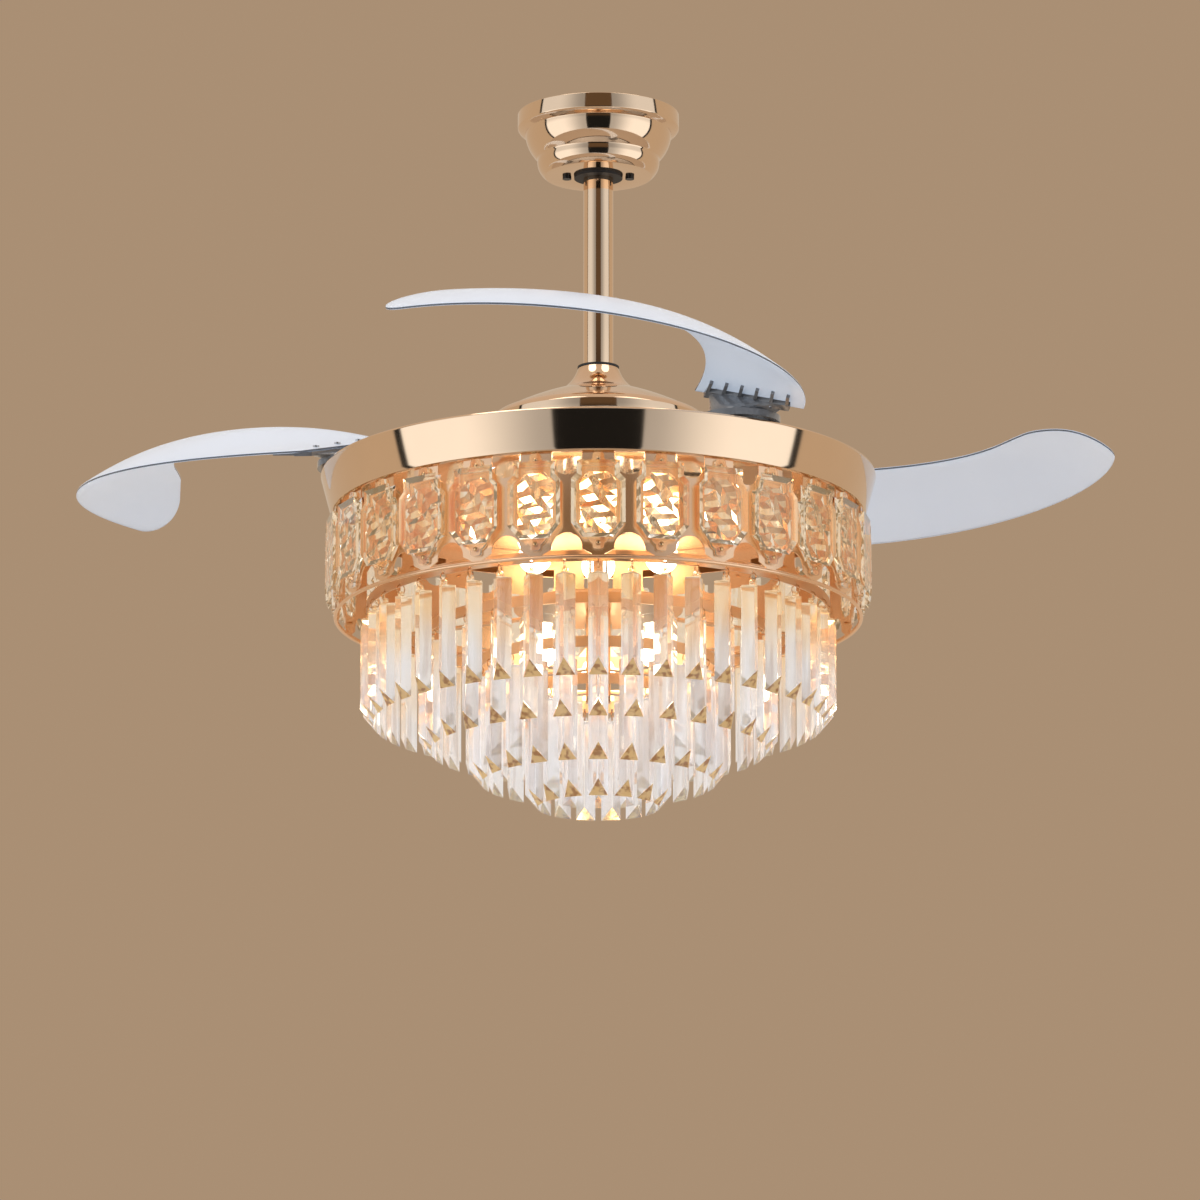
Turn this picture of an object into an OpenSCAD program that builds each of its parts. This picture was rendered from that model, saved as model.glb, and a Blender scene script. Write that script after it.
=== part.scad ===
// Ceiling fan with three retracting blades and a crystal lamp drum.
// Millimetres, +Z up. The origin is on the ceiling face, on the fan's axis, and the fan hangs below it.

/* [Ceiling canopy] */
// Radius of the canopy at the ceiling
canopy_r = 73.3; // [66:0.1:90]
// Height of the canopy
canopy_h = 58; // [54:1:75]
// Wall of the spun and pressed metal
sheet_t = 1.2; // [0.8:0.1:1.6]
// Distance between the two slots for the ceiling screws
slot_spacing = 84; // [76:1:90]
// Width of a ceiling screw slot
slot_w = 6; // [5:0.5:8]
// Length of a ceiling screw slot from end to end
slot_len = 14; // [10:1:16]

/* [Downrod] */
// Outer radius of the downrod
rod_r = 13.5; // [12:0.5:15]
// Wall of the downrod
rod_wall = 2; // [1.5:0.1:2.5]
// Height from the ceiling to the top of the motor cover
drop = 239; // [180:1:600]
// Radius of the ball that the rod hangs by
ball_r = 21; // [19:0.5:24]

/* [Motor] */
// Radius of the hollow motor shaft
shaft_r = 11; // [10:0.5:12]
// Radius of the bore that the lead passes through
shaft_bore_r = 8; // [7.8:0.1:8.5]
// Radius of the stator core
stator_r = 63; // [58:1:68]
// Height of the stator core
stator_h = 18; // [12:1:20]
// Number of stator poles
stator_poles = 12; // [12:1:12]
// Gap between the stator and the magnets
air_gap = 0.8; // [0.6:0.1:1.2]
// Radial thickness of the magnets
magnet_t = 8; // [5:1:9]
// Wall of the rotor housing
rotor_wall = 4; // [3:0.5:5]
// Height of the whole rotor housing
rotor_h = 47; // [46:1:56]
// Radius of the motor cover at its lip
cover_r = 99; // [92:1:125]
// Height of the motor cover down to its lip
cover_h = 49; // [44:1:60]

/* [Blades] */
// Radius from the fan's axis to a blade pivot
pivot_r = 217.4; // [205:0.1:220]
// Radius of the tray that carries the blades
tray_r = 238; // [228:1:242]
// Thickness of the tray
tray_t = 4; // [3:0.5:5]
// Thickness of a blade
blade_t = 2.6; // [2:0.1:3]
// Swing of a blade from folded to the open stop
blade_swing = 85; // [80:1:90]
// Swing of the front blade from folded to where it stands
front_open = 64.5; // [0:0.1:85]
// Swing of the left blade from folded to where it stands
left_open = 82.7; // [0:0.1:85]
// Swing of the back blade from folded to where it stands
back_open = 59.3; // [0:0.1:85]

/* [Lamp ring and drum] */
// Radius of the lamp ring at its rim
ring_r = 250; // [246:1:260]
// Height of the lamp ring
ring_h = 38; // [32:1:44]
// Outer radius of the drum
drum_r = 236; // [226:1:238]
// Height of the drum below the pan floor
drum_h = 115; // [105:1:125]
// Number of glass plaques round the drum
plaque_count = 27; // [20:1:27]

/* [Crystals] */
// Length of a prism with its drilled tongue
prism_len = 96; // [80:1:110]
// Width of a prism
prism_w = 18; // [14:1:21]
// Depth of a prism from its flat back to its ridge
prism_d = 12; // [8:1:13]
// Height of the oblique cut at the foot of a prism
prism_cut = 14; // [8:1:18]
// Radii of the four tiers of prisms
tier_r = [207.5, 156, 110, 60];
// Number of prisms on each tier
tier_count = [44, 30, 24, 15];
// Height of each tier's band below the pan floor
tier_drop = [107, 132, 161, 183];

/* [Hidden] */
$fn = 64;

// Clearances: a fixed fit, a running fit, and the gap under a part that turns
fit = 0.05;
run = 0.06;
float_gap = 0.3;

// Colours
gold = [0.86, 0.62, 0.47];
steel = [0.62, 0.63, 0.65];
dark = [0.12, 0.12, 0.13];
glass = [0.85, 0.92, 0.95, 0.5];
smoke = [0.30, 0.31, 0.33];
plastic = [0.90, 0.90, 0.88];
copper = [0.72, 0.42, 0.22];
warm = [1.00, 0.90, 0.65];

// Heights of the main levels
z_cover = -drop;
z_plate = z_cover - cover_h;
plate_t = 2;
rotor_gap = 4;
z_rotor = z_plate - plate_t - rotor_gap;
z_tray = z_rotor - rotor_h;
tray_gap = 9.8;
z_pan = z_tray - tray_t - tray_gap;
z_under = z_pan - sheet_t;
ring_rise = 2;
z_ring = z_tray + ring_rise;

// A flat ring, and a flat disc shape, between two heights
module ring_band(r_in, r_out, z_low, z_high) {
  rotate_extrude($fn = 96) translate([r_in, z_low]) square([r_out - r_in, z_high - z_low]);
}
module rod(r, z_low, z_high) {
  translate([0, 0, z_low]) cylinder(r = r, h = z_high - z_low);
}
// Children repeated round the axis
module around(count, radius, start = 0) {
  for (i = [0 : count - 1]) rotate([0, 0, start + i * 360 / count]) translate([radius, 0, 0]) children();
}
// Points from p to q on a shallow curve that bulges by s to the left
function bow(p, q, s, n = 8) = [
  for (i = [0 : n]) let (t = i / n, d = q - p) p + d * t + [-d.y, d.x] / norm(d) * (4 * s * t * (1 - t))
];
// An outline moved sideways by t along its normals
function inset(p, t) = [
  for (i = [0 : len(p) - 1])
    let (a = p[max(i - 1, 0)], b = p[min(i + 1, len(p) - 1)], d = (b - a) / norm(b - a)) p[i] + [d.y, -d.x] * t
];
function reverse(p) = [for (i = [len(p) - 1 : -1 : 0]) p[i]];
// A closed skin over rings of points, each ring turning to the left about the way to the next
module loft(rings) {
  n = len(rings);
  m = len(rings[0]);
  mean = [for (k = [1 : m]) 1 / m];
  points = concat([for (ring = rings) each ring], [mean * rings[0], mean * rings[n - 1]]);
  skin = [
    for (i = [0 : n - 2], k = [0 : m - 1])
      let (a = i * m + k, b = i * m + (k + 1) % m)
      each [[a, a + m, b], [b, a + m, b + m]]
  ];
  ends = [
    for (k = [0 : m - 1])
      let (j = (k + 1) % m, last = (n - 1) * m)
      each [[n * m, k, j], [n * m + 1, last + j, last + k]]
  ];
  polyhedron(points, concat(skin, ends));
}
// A spun shell: the outline is its outside, and t is its wall towards the axis
module spun(outline, t) {
  rotate_extrude($fn = 96) polygon(concat(outline, reverse(inset(outline, t))));
}
// A screw with its axis down from the underside of its head at z
module screw(r, z, length, head_r, head_h) {
  rod(r, z - length, z);
  rod(head_r, z, z + head_h);
}

// ---- Ceiling bracket, canopy and hanger ball ----

bracket_t = 2.5;
bracket_len = slot_spacing + slot_len + 8;
bracket_w = 42;
leg_x = 32;
leg_w = 36;
z_seat = -(canopy_h - sheet_t);
z_ball = z_seat + 14.8;
seat_r = ball_r + 3;
seat_h = 5.3;
canopy_screw_x = 28.5;
canopy_screw_r = 2;

module hanger_bracket() {
  color(steel) difference() {
    union() {
      translate([-bracket_len / 2, -bracket_w / 2, -bracket_t]) cube([bracket_len, bracket_w, bracket_t]);
      for (x = [-1, 1])
        translate([x * leg_x - bracket_t / 2, -leg_w / 2, z_seat]) cube([bracket_t, leg_w, -z_seat - bracket_t / 2]);
      translate([-leg_x, -seat_r, z_seat]) cube([2 * leg_x, 2 * seat_r, bracket_t]);
      rod(seat_r, z_seat, z_seat + bracket_t + seat_h);
    }
    translate([0, 0, z_ball]) sphere(r = ball_r + fit);
    rod(rod_r + 2, z_seat - 1, z_seat + bracket_t);
    for (x = [-1, 1]) {
      translate([x * canopy_screw_x, 0, 0]) rod(canopy_screw_r + fit, z_seat - 1, z_seat + bracket_t + 1);
      for (y = [-1, 1]) {
        translate([x * (slot_spacing + y * (slot_len - slot_w)) / 2, 0, 0]) rod(slot_w / 2, -bracket_t - 1, 1);
      }
      translate([x * slot_spacing / 2 - (slot_len - slot_w) / 2, -slot_w / 2, -bracket_t - 1])
        cube([slot_len - slot_w, slot_w, bracket_t + 2]);
    }
  }
}

band_h = 14;
bowl_r = canopy_r - 6.7;
waist = [canopy_r - 17.6, -0.71 * canopy_h];
bottom_r = canopy_r - 24.8;
mouth_r = rod_r + 6.5;
canopy_outline = concat(
  [[canopy_r, 0], [canopy_r, -band_h + 1], [canopy_r - 1, -band_h - 0.6], [canopy_r - 3, -band_h - 2]],
  bow([bowl_r, -band_h - 3.2], waist, 2.6, 10),
  bow(waist + [-0.3, -1.2], [bottom_r, -canopy_h], 2.4, 8),
  [[mouth_r, -canopy_h]]
);
module canopy() {
  color(gold) difference() {
    spun(canopy_outline, sheet_t);
    for (x = [-1, 1])
      translate([x * canopy_screw_x, 0, 0]) rod(canopy_screw_r + fit, -canopy_h - 1, -canopy_h + sheet_t + 1);
  }
}
module canopy_ring() {
  color(dark) ring_band(rod_r + fit, mouth_r + 2, -canopy_h - 2, -canopy_h);
}
module canopy_screws() {
  color(dark) for (x = [-1, 1])
    translate([x * canopy_screw_x, 0, 0]) mirror([0, 0, 1]) screw(canopy_screw_r, canopy_h, 7, 4, 2.5);
}

z_rod_top = z_ball + ball_r - 1;
z_rod_low = z_cover - 23;
pin_r = 2.8;
z_pin_top = z_ball + 8;
z_pin_low = z_cover - 15;
coupling_r = rod_r + 5.5;
module hanger_ball() {
  color(dark) difference() {
    intersection() {
      translate([0, 0, z_ball]) sphere(r = ball_r);
      rod(ball_r + 1, z_ball - 13.5, z_ball + 14);
    }
    rod(rod_r + fit, z_ball - ball_r, z_ball + ball_r);
    translate([0, 0, z_pin_top]) rotate([0, 90, 0]) cylinder(r = pin_r + fit, h = 3 * ball_r, center = true);
  }
}
// The upper pin holds the rod in the ball, the lower one holds it in the coupling
module rod_pins() {
  color(steel) {
    translate([0, 0, z_pin_top]) rotate([0, 90, 0]) cylinder(r = pin_r, h = 2 * ball_r - 6, center = true);
    translate([0, 0, z_pin_low]) rotate([0, 90, 0]) cylinder(r = pin_r, h = 2 * coupling_r + 6, center = true);
  }
}
module downrod() {
  color(gold) difference() {
    ring_band(rod_r - rod_wall, rod_r, z_rod_low, z_rod_top);
    for (z = [z_pin_top, z_pin_low])
      translate([0, 0, z]) rotate([0, 90, 0]) cylinder(r = pin_r + fit, h = 3 * rod_r, center = true);
  }
}

// ---- Shaft coupling, motor cover and motor ----

neck_r = rod_r + 5;
module gasket_ring() {
  color(dark) ring_band(rod_r + fit, neck_r + 0.3, z_cover, z_cover + 2);
}
z_coupling = z_cover - 10;
grub_r = 2.5;
z_grub = z_plate + 14;
module shaft_coupling() {
  color(steel) difference() {
    rod(coupling_r, z_plate, z_coupling);
    rod(rod_r + fit, z_rod_low, z_coupling + 1);
    rod(shaft_r + fit, z_plate - 1, z_rod_low + 1);
    translate([0, 0, z_pin_low]) rotate([0, 90, 0]) cylinder(r = pin_r + fit, h = 3 * coupling_r, center = true);
    around(3, hub_screw_r, 30) rod(hub_screw_d / 2 + fit, z_plate - 1, z_plate + 9);
    around(2, 0, 90) translate([0, 0, z_grub]) rotate([0, 90, 0]) cylinder(r = grub_r + fit, h = coupling_r + 1);
  }
}
shaft_tail = 8;
z_shaft_low = z_under - shaft_tail;
module motor_shaft() {
  color(steel) ring_band(shaft_bore_r, shaft_r, z_shaft_low, z_rod_low - 0.5);
}

cover_lip = 12;
neck_h = 21;
shoulder = [neck_r + 16, z_cover - neck_h];
brow = [cover_r - 12, z_plate + 6];
cover_outline = concat(
  [[rod_r + 1, z_cover], [neck_r, z_cover]],
  bow([neck_r + 0.3, z_cover - 1], shoulder, -2.2),
  bow(shoulder + [2, -0.9], brow, 1.2, 10),
  bow(brow + [1.3, -0.9], [cover_r, z_plate - 3], 1.6, 6),
  [[cover_r, z_plate - cover_lip]]
);
cover_screw_d = 3;
z_cover_screw = z_plate - 7;
module side_screw_holes(r) {
  around(3, 0, 90) translate([cover_r - 15, 0, z_cover_screw]) rotate([0, 90, 0]) cylinder(r = r, h = 20);
}
module motor_cover() {
  color(gold) difference() {
    spun(cover_outline, sheet_t);
    side_screw_holes(cover_screw_d / 2 + fit);
  }
}
plate_r = cover_r - sheet_t - 0.1;
plate_skirt = 10;
skirt_t = 1.5;
hub_screw_r = 15.5;
hub_screw_d = 3;
module cover_plate() {
  color(steel) difference() {
    rotate_extrude($fn = 96) polygon([
      [shaft_r + fit, z_plate], [plate_r - 5.2, z_plate], [plate_r, z_plate - 4], [plate_r, z_plate - plate_skirt],
      [plate_r - skirt_t, z_plate - plate_skirt], [plate_r - skirt_t, z_plate - 4.6],
      [plate_r - 6, z_plate - plate_t], [shaft_r + fit, z_plate - plate_t]
    ]);
    side_screw_holes(cover_screw_d / 2 + fit);
    around(3, hub_screw_r, 30) rod(hub_screw_d / 2 + fit, z_plate - plate_t - 1, z_plate + 1);
  }
}
// Three screws hold the cover to the plate, three the plate to the coupling, and two grip the shaft
module motor_screws() {
  color(steel) {
    around(3, 0, 90) translate([0, 0, z_cover_screw]) rotate([0, 90, 0])
      screw(cover_screw_d / 2, cover_r, 6, 2.8, 1.4);
    around(3, hub_screw_r, 30) mirror([0, 0, 1]) screw(hub_screw_d / 2, plate_t - z_plate, 9, 2.8, 1.6);
    around(2, 0, 90) translate([shaft_r + fit, 0, z_grub]) rotate([0, 90, 0]) cylinder(r = grub_r, h = 7);
  }
}

bearing_r = 20;
bearing_h = 8.5;
bearing_lip = 1.5;
housing_plate = 3;
hub_wall = 5;
race_mid = (shaft_r + bearing_r) / 2;
ball_bearing_r = 2.5;
magnet_in = stator_r + air_gap;
magnet_out = magnet_in + magnet_t;
rotor_r = magnet_out + fit + rotor_wall;
flange_r = rotor_r + 10;
flange_t = 2.5;
z_split = z_rotor - rotor_h / 2;
z_stator = z_split + stator_h / 2;
z_bearings = [z_rotor - bearing_lip - bearing_h, z_tray + bearing_lip + 1];
rotor_screw_r = 2;
flange_screw_at = rotor_r + 5;
tray_screw_at = 50;
screw_count = 6;

slot_in = 28;
slot_out = stator_r - 5;
arm_w = 8;
function half_slot(r) = r * tan(180 / stator_poles) - arm_w / 2 / cos(180 / stator_poles);
module stator_core() {
  color(steel) translate([0, 0, z_stator - stator_h]) linear_extrude(stator_h) difference() {
    circle(r = stator_r, $fn = 96);
    circle(r = shaft_r + fit);
    for (i = [0 : stator_poles - 1]) rotate([0, 0, (i + 0.5) * 360 / stator_poles]) {
      polygon([
        [slot_in, -half_slot(slot_in)], [slot_out, -half_slot(slot_out)],
        [slot_out, half_slot(slot_out)], [slot_in, half_slot(slot_in)]
      ]);
      translate([slot_out - 1, -1.5]) square([stator_r - slot_out + 3, 3]);
    }
  }
}
coil_t = 3.4;
coil_in = 31.5;
coil_len = stator_r - 8 - coil_in;
module stator_windings() {
  window = [coil_len + 2, arm_w + 0.6, stator_h + 0.6];
  color(copper) around(stator_poles, coil_in) translate([coil_len / 2, 0, z_stator - stator_h / 2]) difference() {
    cube([coil_len, window.y + 2 * coil_t, window.z + 2 * coil_t], center = true);
    cube(window, center = true);
  }
}
module race(r_in, r_out, z) {
  rotate_extrude($fn = 96) difference() {
    translate([r_in, z]) square([r_out - r_in, bearing_h]);
    translate([race_mid, z + bearing_h / 2]) circle(r = ball_bearing_r + run);
  }
}
module bearing_inner_races() {
  color(steel) for (z = z_bearings) race(shaft_r + fit, race_mid - 1.2, z);
}
module bearing_outer_races() {
  color(steel) for (z = z_bearings) race(race_mid + 1.2, bearing_r, z);
}
module bearing_balls() {
  color(steel) for (z = z_bearings) around(9, race_mid) translate([0, 0, z + bearing_h / 2]) sphere(r = ball_bearing_r);
}
hub_h = bearing_lip + bearing_h + 1;
module flange_holes(r) {
  around(screw_count, flange_screw_at) rod(r, z_split - flange_t - 1, z_split + flange_t + 1);
}
module rotor_upper_housing() {
  color(smoke) difference() {
    union() {
      ring_band(shaft_r + 1.5, rotor_r, z_rotor - housing_plate, z_rotor);
      ring_band(magnet_out + fit, rotor_r, z_split, z_rotor - 1);
      ring_band(magnet_out + fit, flange_r, z_split, z_split + flange_t);
      ring_band(bearing_r + fit, bearing_r + hub_wall, z_rotor - hub_h, z_rotor);
    }
    rod(bearing_r + fit, z_rotor - hub_h, z_rotor - bearing_lip);
    flange_holes(rotor_screw_r + fit);
  }
}
module rotor_lower_housing() {
  color(smoke) difference() {
    union() {
      ring_band(shaft_r + 1.5, rotor_r, z_tray, z_tray + housing_plate);
      ring_band(magnet_out + fit, rotor_r, z_tray + 1, z_split);
      ring_band(magnet_out + fit, flange_r, z_split - flange_t, z_split);
      ring_band(bearing_r + fit, bearing_r + hub_wall, z_tray, z_tray + hub_h + 1);
    }
    rod(bearing_r + fit, z_tray + bearing_lip + 1, z_tray + hub_h + 2);
    flange_holes(rotor_screw_r + fit);
    around(screw_count, tray_screw_at) rod(rotor_screw_r + fit, z_tray - 1, z_tray + housing_plate + 1);
  }
}
module magnet_ring() {
  color(dark) ring_band(magnet_in, magnet_out, z_split - stator_h / 2 - 3, z_split + stator_h / 2 + 3);
}
// Six screws join the two halves of the housing, and six hold the tray to it
module rotor_screws() {
  color(steel) {
    around(screw_count, flange_screw_at) screw(rotor_screw_r, z_split + flange_t, 2 * flange_t, 3.5, 2.2);
    around(screw_count, tray_screw_at) mirror([0, 0, 1])
      screw(rotor_screw_r, tray_t - z_tray, tray_t + housing_plate, 3.5, 2.2);
  }
}

// ---- Blades: one crescent, placed three times ----

// A blade is drawn in its own frame: the fan's axis is at the origin and the pivot is at pivot_at.
pivot_bearing = 4.9;
pivot_at = pivot_r * [cos(pivot_bearing), sin(pivot_bearing)];
blade_bearings = [-60, 180, 60];
fold_turn = -68;
open_turns = [for (swing = [front_open, left_open, back_open]) fold_turn + swing];
// Outer and inner edge: centre, radius, and the angles at the root and at the tip
outer_centre = [187.8, -175.6];
outer_radius = 243.3;
outer_root = 68.5;
outer_tip = -64.2;
inner_centre = [159.3, -186.9];
inner_radius = 179.1;
inner_root = 81.5;
inner_tip = -27.3;
// Heights of the two edges above the tray at the root, at each third, and at the tip
outer_rise = [8.3, 14, 27.6, 31.9];
inner_rise = [39, 56.3, 60, 63.4];
camber = 9.6;
camber_ramp = 0.28;
// How far the two corners of the tip are rounded: the share of the length, and of the width
tip_outer = [0.093, 0.54];
tip_inner = [0.068, 0.18];

function cubic(v, q) = (
  v[0] * (1 - 3 * q) * (2 - 3 * q) * (1 - q) / 2 + v[1] * 9 * q * (2 - 3 * q) * (1 - q) / 2
  - v[2] * 9 * q * (1 - 3 * q) * (1 - q) / 2 + v[3] * q * (1 - 3 * q) * (2 - 3 * q) / 2
);
function clamp01(v) = max(0, min(1, v));
function smooth(v) = let (u = clamp01(v)) u * u * (3 - 2 * u);
function round_off(corner, q) =
  let (u = clamp01((q - 1 + corner[0]) / corner[0])) corner[1] * (1 - sqrt(1 - u * u));
function edge_point(centre, radius, root, tip, rise, q) =
  let (a = root + (tip - root) * q)
  [centre.x + radius * cos(a), centre.y + radius * sin(a), z_tray + cubic(rise, q)];
// Middle surface of a blade: q runs from root to tip, and t from the outer to the inner edge
function blade_point(q, t) =
  let (
    o = edge_point(outer_centre, outer_radius, outer_root, outer_tip, outer_rise, q),
    i = edge_point(inner_centre, inner_radius, inner_root, inner_tip, inner_rise, q),
    cut_o = round_off(tip_outer, q),
    cut_i = round_off(tip_inner, q),
    u = cut_o + (1 - cut_o - cut_i) * t
  )
  o * (1 - u) + i * u + [0, 0, camber * smooth(q / camber_ramp) * 4 * u * (1 - u)];
// A slab that follows the blade's surface between two heights off it
module blade_slab(q_from, q_to, t_from, t_to, low, high, nq, nt) {
  across = nt + 1;
  layer = (nq + 1) * across;
  surface = [
    for (i = [0 : nq], j = [0 : nt])
      blade_point(q_from + (q_to - q_from) * i / nq, t_from + (t_to - t_from) * j / nt)
  ];
  points = concat([for (p = surface) p + [0, 0, low]], [for (p = surface) p + [0, 0, high]]);
  cells = [for (i = [0 : nq - 1], j = [0 : nt - 1]) i * across + j];
  under = [for (c = cells) each [[c, c + 1, c + across], [c + 1, c + across + 1, c + across]]];
  rim = concat(
    [for (i = [0 : nq - 1]) [(i + 1) * across, i * across]],
    [for (j = [0 : nt - 1]) [j, j + 1]],
    [for (i = [0 : nq - 1]) [i * across + nt, (i + 1) * across + nt]],
    [for (j = [0 : nt - 1]) [nq * across + j + 1, nq * across + j]]
  );
  walls = [for (e = rim) each [[e[0], e[0] + layer, e[1]], [e[1], e[0] + layer, e[1] + layer]]];
  polyhedron(points, concat(under, [for (f = under) [for (k = [2, 1, 0]) f[k] + layer]], walls));
}
module at_bearing(i) {
  rotate([0, 0, blade_bearings[i]]) children();
}
// Children drawn in the blade's frame, turned about the pivot to where blade i stands
module at_blade(i) {
  at_bearing(i) translate(pivot_at) rotate([0, 0, open_turns[i]]) translate(-pivot_at) children();
}

// Blade screws: positions along and across the root, and the seat of a head above the sheet's middle
screw_q = 0.02;
screw_ts = [0.32, 0.56, 0.80];
blade_screw_r = 1.5;
head_seat = 0.3;
module at_blade_screws() {
  for (t = screw_ts) translate(blade_point(screw_q, t)) children();
}
module blade(i) {
  color(glass) at_blade(i) difference() {
    blade_slab(0, 1, 0, 1, -blade_t / 2, blade_t / 2, 44, 12);
    at_blade_screws() {
      rod(blade_screw_r + fit, -10, 10);
      rod(3.1, head_seat, 10);
    }
  }
}

base_r = 36;
base_step = 3.6;
base_h = 9.7;
z_base = z_tray + float_gap;
inside_ring_r = 29.5;
bolt_r = 6;
bolt_thread_r = 5;
// The limit pin stands below the base and runs in an arc slot in the tray
limit_pin_r = 2.5;
limit_pin_at = 26;
limit_pin_bearing = 213.5;
z_limit_pin = z_pan + 1.3;
bar_q = 0.03;
bar_t = [0.14, 0.92];
bar_depth = 4;
finger_q = 0.07;
finger_count = 6;
finger_w = 3;
neck_r_low = 27;
sheet_under = -blade_t / 2 - 0.1;
along_root = let (d = blade_point(0, 1) - blade_point(0, 0)) [d.x, d.y, 0] / norm([d.x, d.y]);
across_root = [-along_root.y, along_root.x, 0];
// The neck flares from a circle on the base to the underside of the bar
neck_rings = [
  for (s = [0 : 0.125 : 1])
    [
      for (a = [0 : 11.25 : 348.75])
        let (
          low = [pivot_at.x, pivot_at.y, z_base + base_h - 1] + neck_r_low * (along_root * cos(a) + across_root * sin(a)),
          t = (bar_t[0] + bar_t[1]) / 2 + (bar_t[1] - bar_t[0]) * 0.48 * cos(a),
          high = blade_point(bar_q * (0.5 + 0.45 * sin(a)), t) + [0, 0, sheet_under - bar_depth / 2],
          flare = pow(s, 2)
        )
        [low.x + (high.x - low.x) * flare, low.y + (high.y - low.y) * flare, low.z + (high.z - low.z) * s]
    ]
];
// A square rib under the sheet, laid along it from the bar
module finger(t) {
  low = blade_point(bar_q / 2, t);
  ahead = blade_point(finger_q, t) - low;
  aside = blade_point(bar_q / 2, t - 0.05) - blade_point(bar_q / 2, t + 0.05);
  roll = atan(aside.z / norm([aside.x, aside.y]));
  rise = atan(ahead.z / norm([ahead.x, ahead.y]));
  translate(low + [0, 0, sheet_under - 0.3]) rotate([roll, -rise, atan2(ahead.y, ahead.x)])
    translate([0, -finger_w / 2, -bar_depth + 0.8]) cube([norm(ahead), finger_w, bar_depth - 0.8]);
}
module blade_bracket(i) {
  color(smoke) at_blade(i) difference() {
    union() {
      translate([pivot_at.x, pivot_at.y, z_base]) {
        cylinder(r = inside_ring_r, h = base_h);
        translate([0, 0, base_step]) cylinder(r = base_r, h = base_h - base_step);
        rotate([0, 0, limit_pin_bearing]) translate([limit_pin_at, 0, z_limit_pin - z_base])
          cylinder(r = limit_pin_r, h = z_base + 1 - z_limit_pin);
      }
      loft(neck_rings);
      blade_slab(0, bar_q, bar_t[0], bar_t[1], sheet_under - bar_depth, sheet_under, 2, 12);
      for (k = [0 : finger_count - 1]) finger(bar_t[0] + 0.02 + (bar_t[1] - bar_t[0] - 0.04) * k / (finger_count - 1));
    }
    translate([pivot_at.x, pivot_at.y, z_base - 1]) cylinder(r = bolt_thread_r + fit, h = base_h - 1.5);
    at_blade_screws() rod(blade_screw_r + fit, -9, 1);
  }
}
module blade_screws(i) {
  color(steel) at_blade(i) at_blade_screws() screw(blade_screw_r, head_seat, 8, 3, 1.6);
}
bolt_head_r = 9.5;
bolt_head_h = 4;
module pivot_bolt(i) {
  z_head = z_tray - tray_t - float_gap;
  color(steel) at_blade(i) translate(pivot_at) {
    rod(bolt_thread_r, z_base - 1, z_base + base_h - 3);
    rod(bolt_r, z_head - 1, z_base);
    rod(bolt_head_r, z_head - bolt_head_h, z_head);
  }
}

module at_pivot(i) {
  at_bearing(i) translate(pivot_at) children();
}
// Where the limit pin stands, seen from the pivot, when the blade is folded and when it meets the open stop
pin_folded = limit_pin_bearing + fold_turn;
pin_open = pin_folded + blade_swing;
slot_slack = 0.6;
module limit_slot() {
  half = limit_pin_r + 0.4;
  end_turn = asin((limit_pin_r + slot_slack) / limit_pin_at);
  translate([0, 0, z_tray - tray_t - 1]) rotate([0, 0, pin_folded - end_turn])
    rotate_extrude(angle = blade_swing + 2 * end_turn) translate([limit_pin_at - half, 0]) square([2 * half, tray_t + 2]);
}
buffer_r = 3;
buffer_h = 5;
buffer_gap = 0.3;
buffer_turn = 2 * asin((limit_pin_r + buffer_r + buffer_gap) / 2 / limit_pin_at);
spring_r = 13;
wire_r = 0.8;
spring_turns = 2.5;
spring_pitch = 2.1;
z_spring = z_tray - tray_t - wire_r - 0.3;
leg_end = limit_pin_at + 4;
// The moving leg is drawn where it stands at the open stop, clear of the pin
leg_turn = pin_open + asin((limit_pin_r + wire_r + 0.4) / limit_pin_at);
anchor_turn = leg_turn - spring_turns * 360;
module blade_tray() {
  color(steel) {
    difference() {
      rod(tray_r, z_tray - tray_t, z_tray);
      rod(shaft_r + 3, z_tray - tray_t - 1, z_tray + 1);
      around(screw_count, tray_screw_at) rod(rotor_screw_r + fit, z_tray - tray_t - 1, z_tray + 1);
      around(screw_count, 125, 30) rod(28, z_tray - tray_t - 1, z_tray + 1);
      for (i = [0 : 2]) at_pivot(i) {
        rod(bolt_r + run, z_tray - tray_t - 1, z_tray + 1);
        limit_slot();
      }
    }
    for (i = [0 : 2]) at_pivot(i) rotate([0, 0, anchor_turn]) translate([spring_r + 4, wire_r + 1.7, 0])
      rod(1.5, z_tray - tray_t - 4, z_tray - tray_t / 2);
  }
}
module stop_buffers() {
  color(dark) for (i = [0 : 2], a = [pin_folded - buffer_turn, pin_open + buffer_turn])
    at_pivot(i) rotate([0, 0, a]) translate([limit_pin_at, 0, 0])
      rod(buffer_r, z_tray - tray_t - buffer_h, z_tray - tray_t);
}
// A tube swept along points, with a ring of sides at each
module sweep(path, r, sides) {
  n = len(path);
  loft([
    for (i = [0 : n - 1])
      let (
        d = path[min(i + 1, n - 1)] - path[max(i - 1, 0)],
        f = d / norm(d),
        s = cross([0, 0, 1], f) / norm(cross([0, 0, 1], f)),
        u = cross(f, s)
      )
      [for (k = [0 : sides - 1]) path[i] + r * (s * cos(k * 360 / sides) + u * sin(k * 360 / sides))]
  ]);
}
spring_path = concat(
  [[(spring_r + 6) * cos(anchor_turn), (spring_r + 6) * sin(anchor_turn), z_spring]],
  [
    for (k = [0 : spring_turns * 16])
      let (a = anchor_turn + k * 360 / 16)
      [spring_r * cos(a), spring_r * sin(a), z_spring - spring_pitch * k / 16]
  ],
  [[leg_end * cos(leg_turn), leg_end * sin(leg_turn), z_spring - spring_pitch * spring_turns]]
);
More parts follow.
